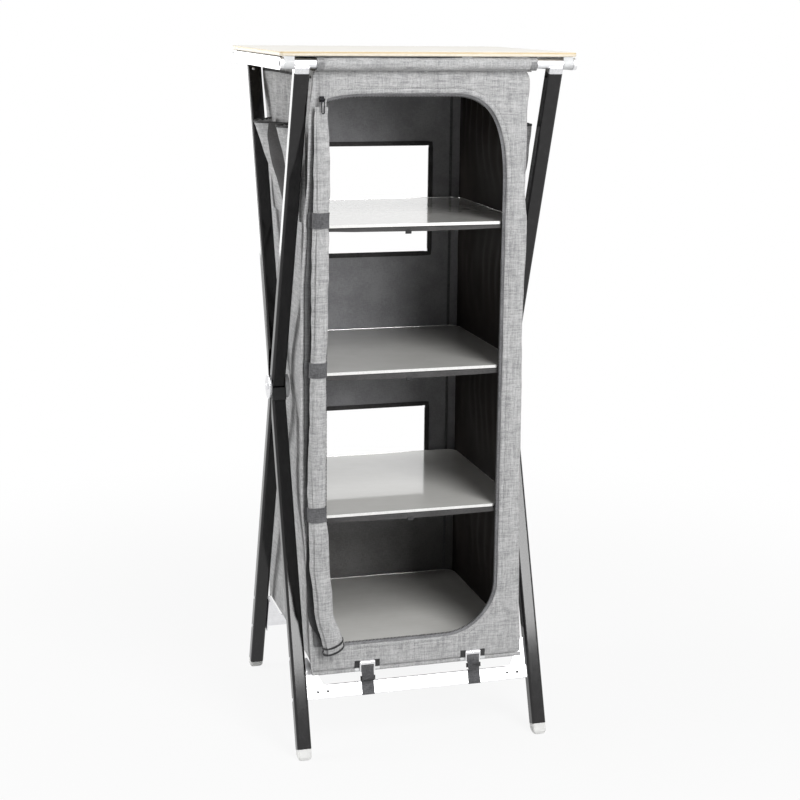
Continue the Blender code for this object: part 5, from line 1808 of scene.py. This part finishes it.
# %% [markdown]
# ## Floor and lamps
# The floor is seen as the same white as the room, but it still takes soft shadows under the feet. A bent
# backdrop could do that too, but its curve shows in the metal parts, so the floor is a flat sheet that mixes
# a matt paint with plain light. Four large soft lamps do the rest: one above in front, one in front on the
# right that is mirrored in the front legs, one at the left for the side wall and its pockets, and one behind
# at the left for the light lines on the legs.

# %% Floor


def studio_floor():
    """A sheet of the stage, which isn't a part of the cupboard."""
    paint = Finish("studio_floor")
    colour = paint.mix(paint.grain(3, 3, 3, 2.0), (0.58, 0.58, 0.58, 1), (0.61, 0.61, 0.61, 1))
    matt = paint.node("ShaderNodeBsdfDiffuse", None, {"Color": colour})
    white = paint.node("ShaderNodeEmission", None, {"Color": WHITE, "Strength": 1.0})
    seen = seen_directly(paint)
    away = paint.node("ShaderNodeVectorMath", {"operation": "LENGTH"}, {0: paint.place}, "Value")
    far = paint.between(away, 0.7, 2.2)
    mixed = {0: seen * (far * 0.10 + 0.90), 1: matt, 2: white}
    paint.shown_as(paint.node("ShaderNodeMixShader", None, mixed))
    mesh = bpy.data.meshes.new("studio_floor")
    mesh.from_pydata([(-15, -15, 0), (15, -15, 0), (15, 15, 0), (-15, 15, 0)], [], [(0, 1, 2, 3)])
    floor = add_piece("studio_floor", mesh, paint.material)
    floor.location.z = -0.0005
    tell(floor)


studio_floor()

# %% Lamps


def lamp(name, place, aim, width, height, watts):
    """A soft lamp at a place, turned towards another."""
    data = bpy.data.lights.new(name, "AREA")
    data.shape = "RECTANGLE"
    data.size = width
    data.size_y = height
    data.energy = watts
    thing = bpy.data.objects.new(name, data)
    bpy.context.scene.collection.objects.link(thing)
    turned = (Vector(aim) - Vector(place)).to_track_quat("-Z", "Y").to_matrix().to_4x4()
    thing.matrix_world = Matrix.Translation(place) @ turned


lamp("softbox_above", (1.0, -3.4, 3.95), (0.0, 0.0, 0.7), 2.0, 2.0, 122.0)
lamp("softbox_front_right", (1.12, -4.0, 1.86), (0.0, 0.0, 0.7), 1.45, 1.10, 62.0)
lamp("softbox_left", (-3.3, 0.5, 1.9), (0.0, 0.0, 0.9), 1.6, 1.6, 62.0)
lamp("softbox_behind_left", (-1.6, 4.6, 1.3), (-0.2, 0.0, 0.9), 1.6, 2.0, 24.0)

# %% [markdown]
# ## View transform
# The view transform is Standard, since the colours were picked for that one.

# %% Finish
bpy.context.scene.view_settings.view_transform = "Standard"
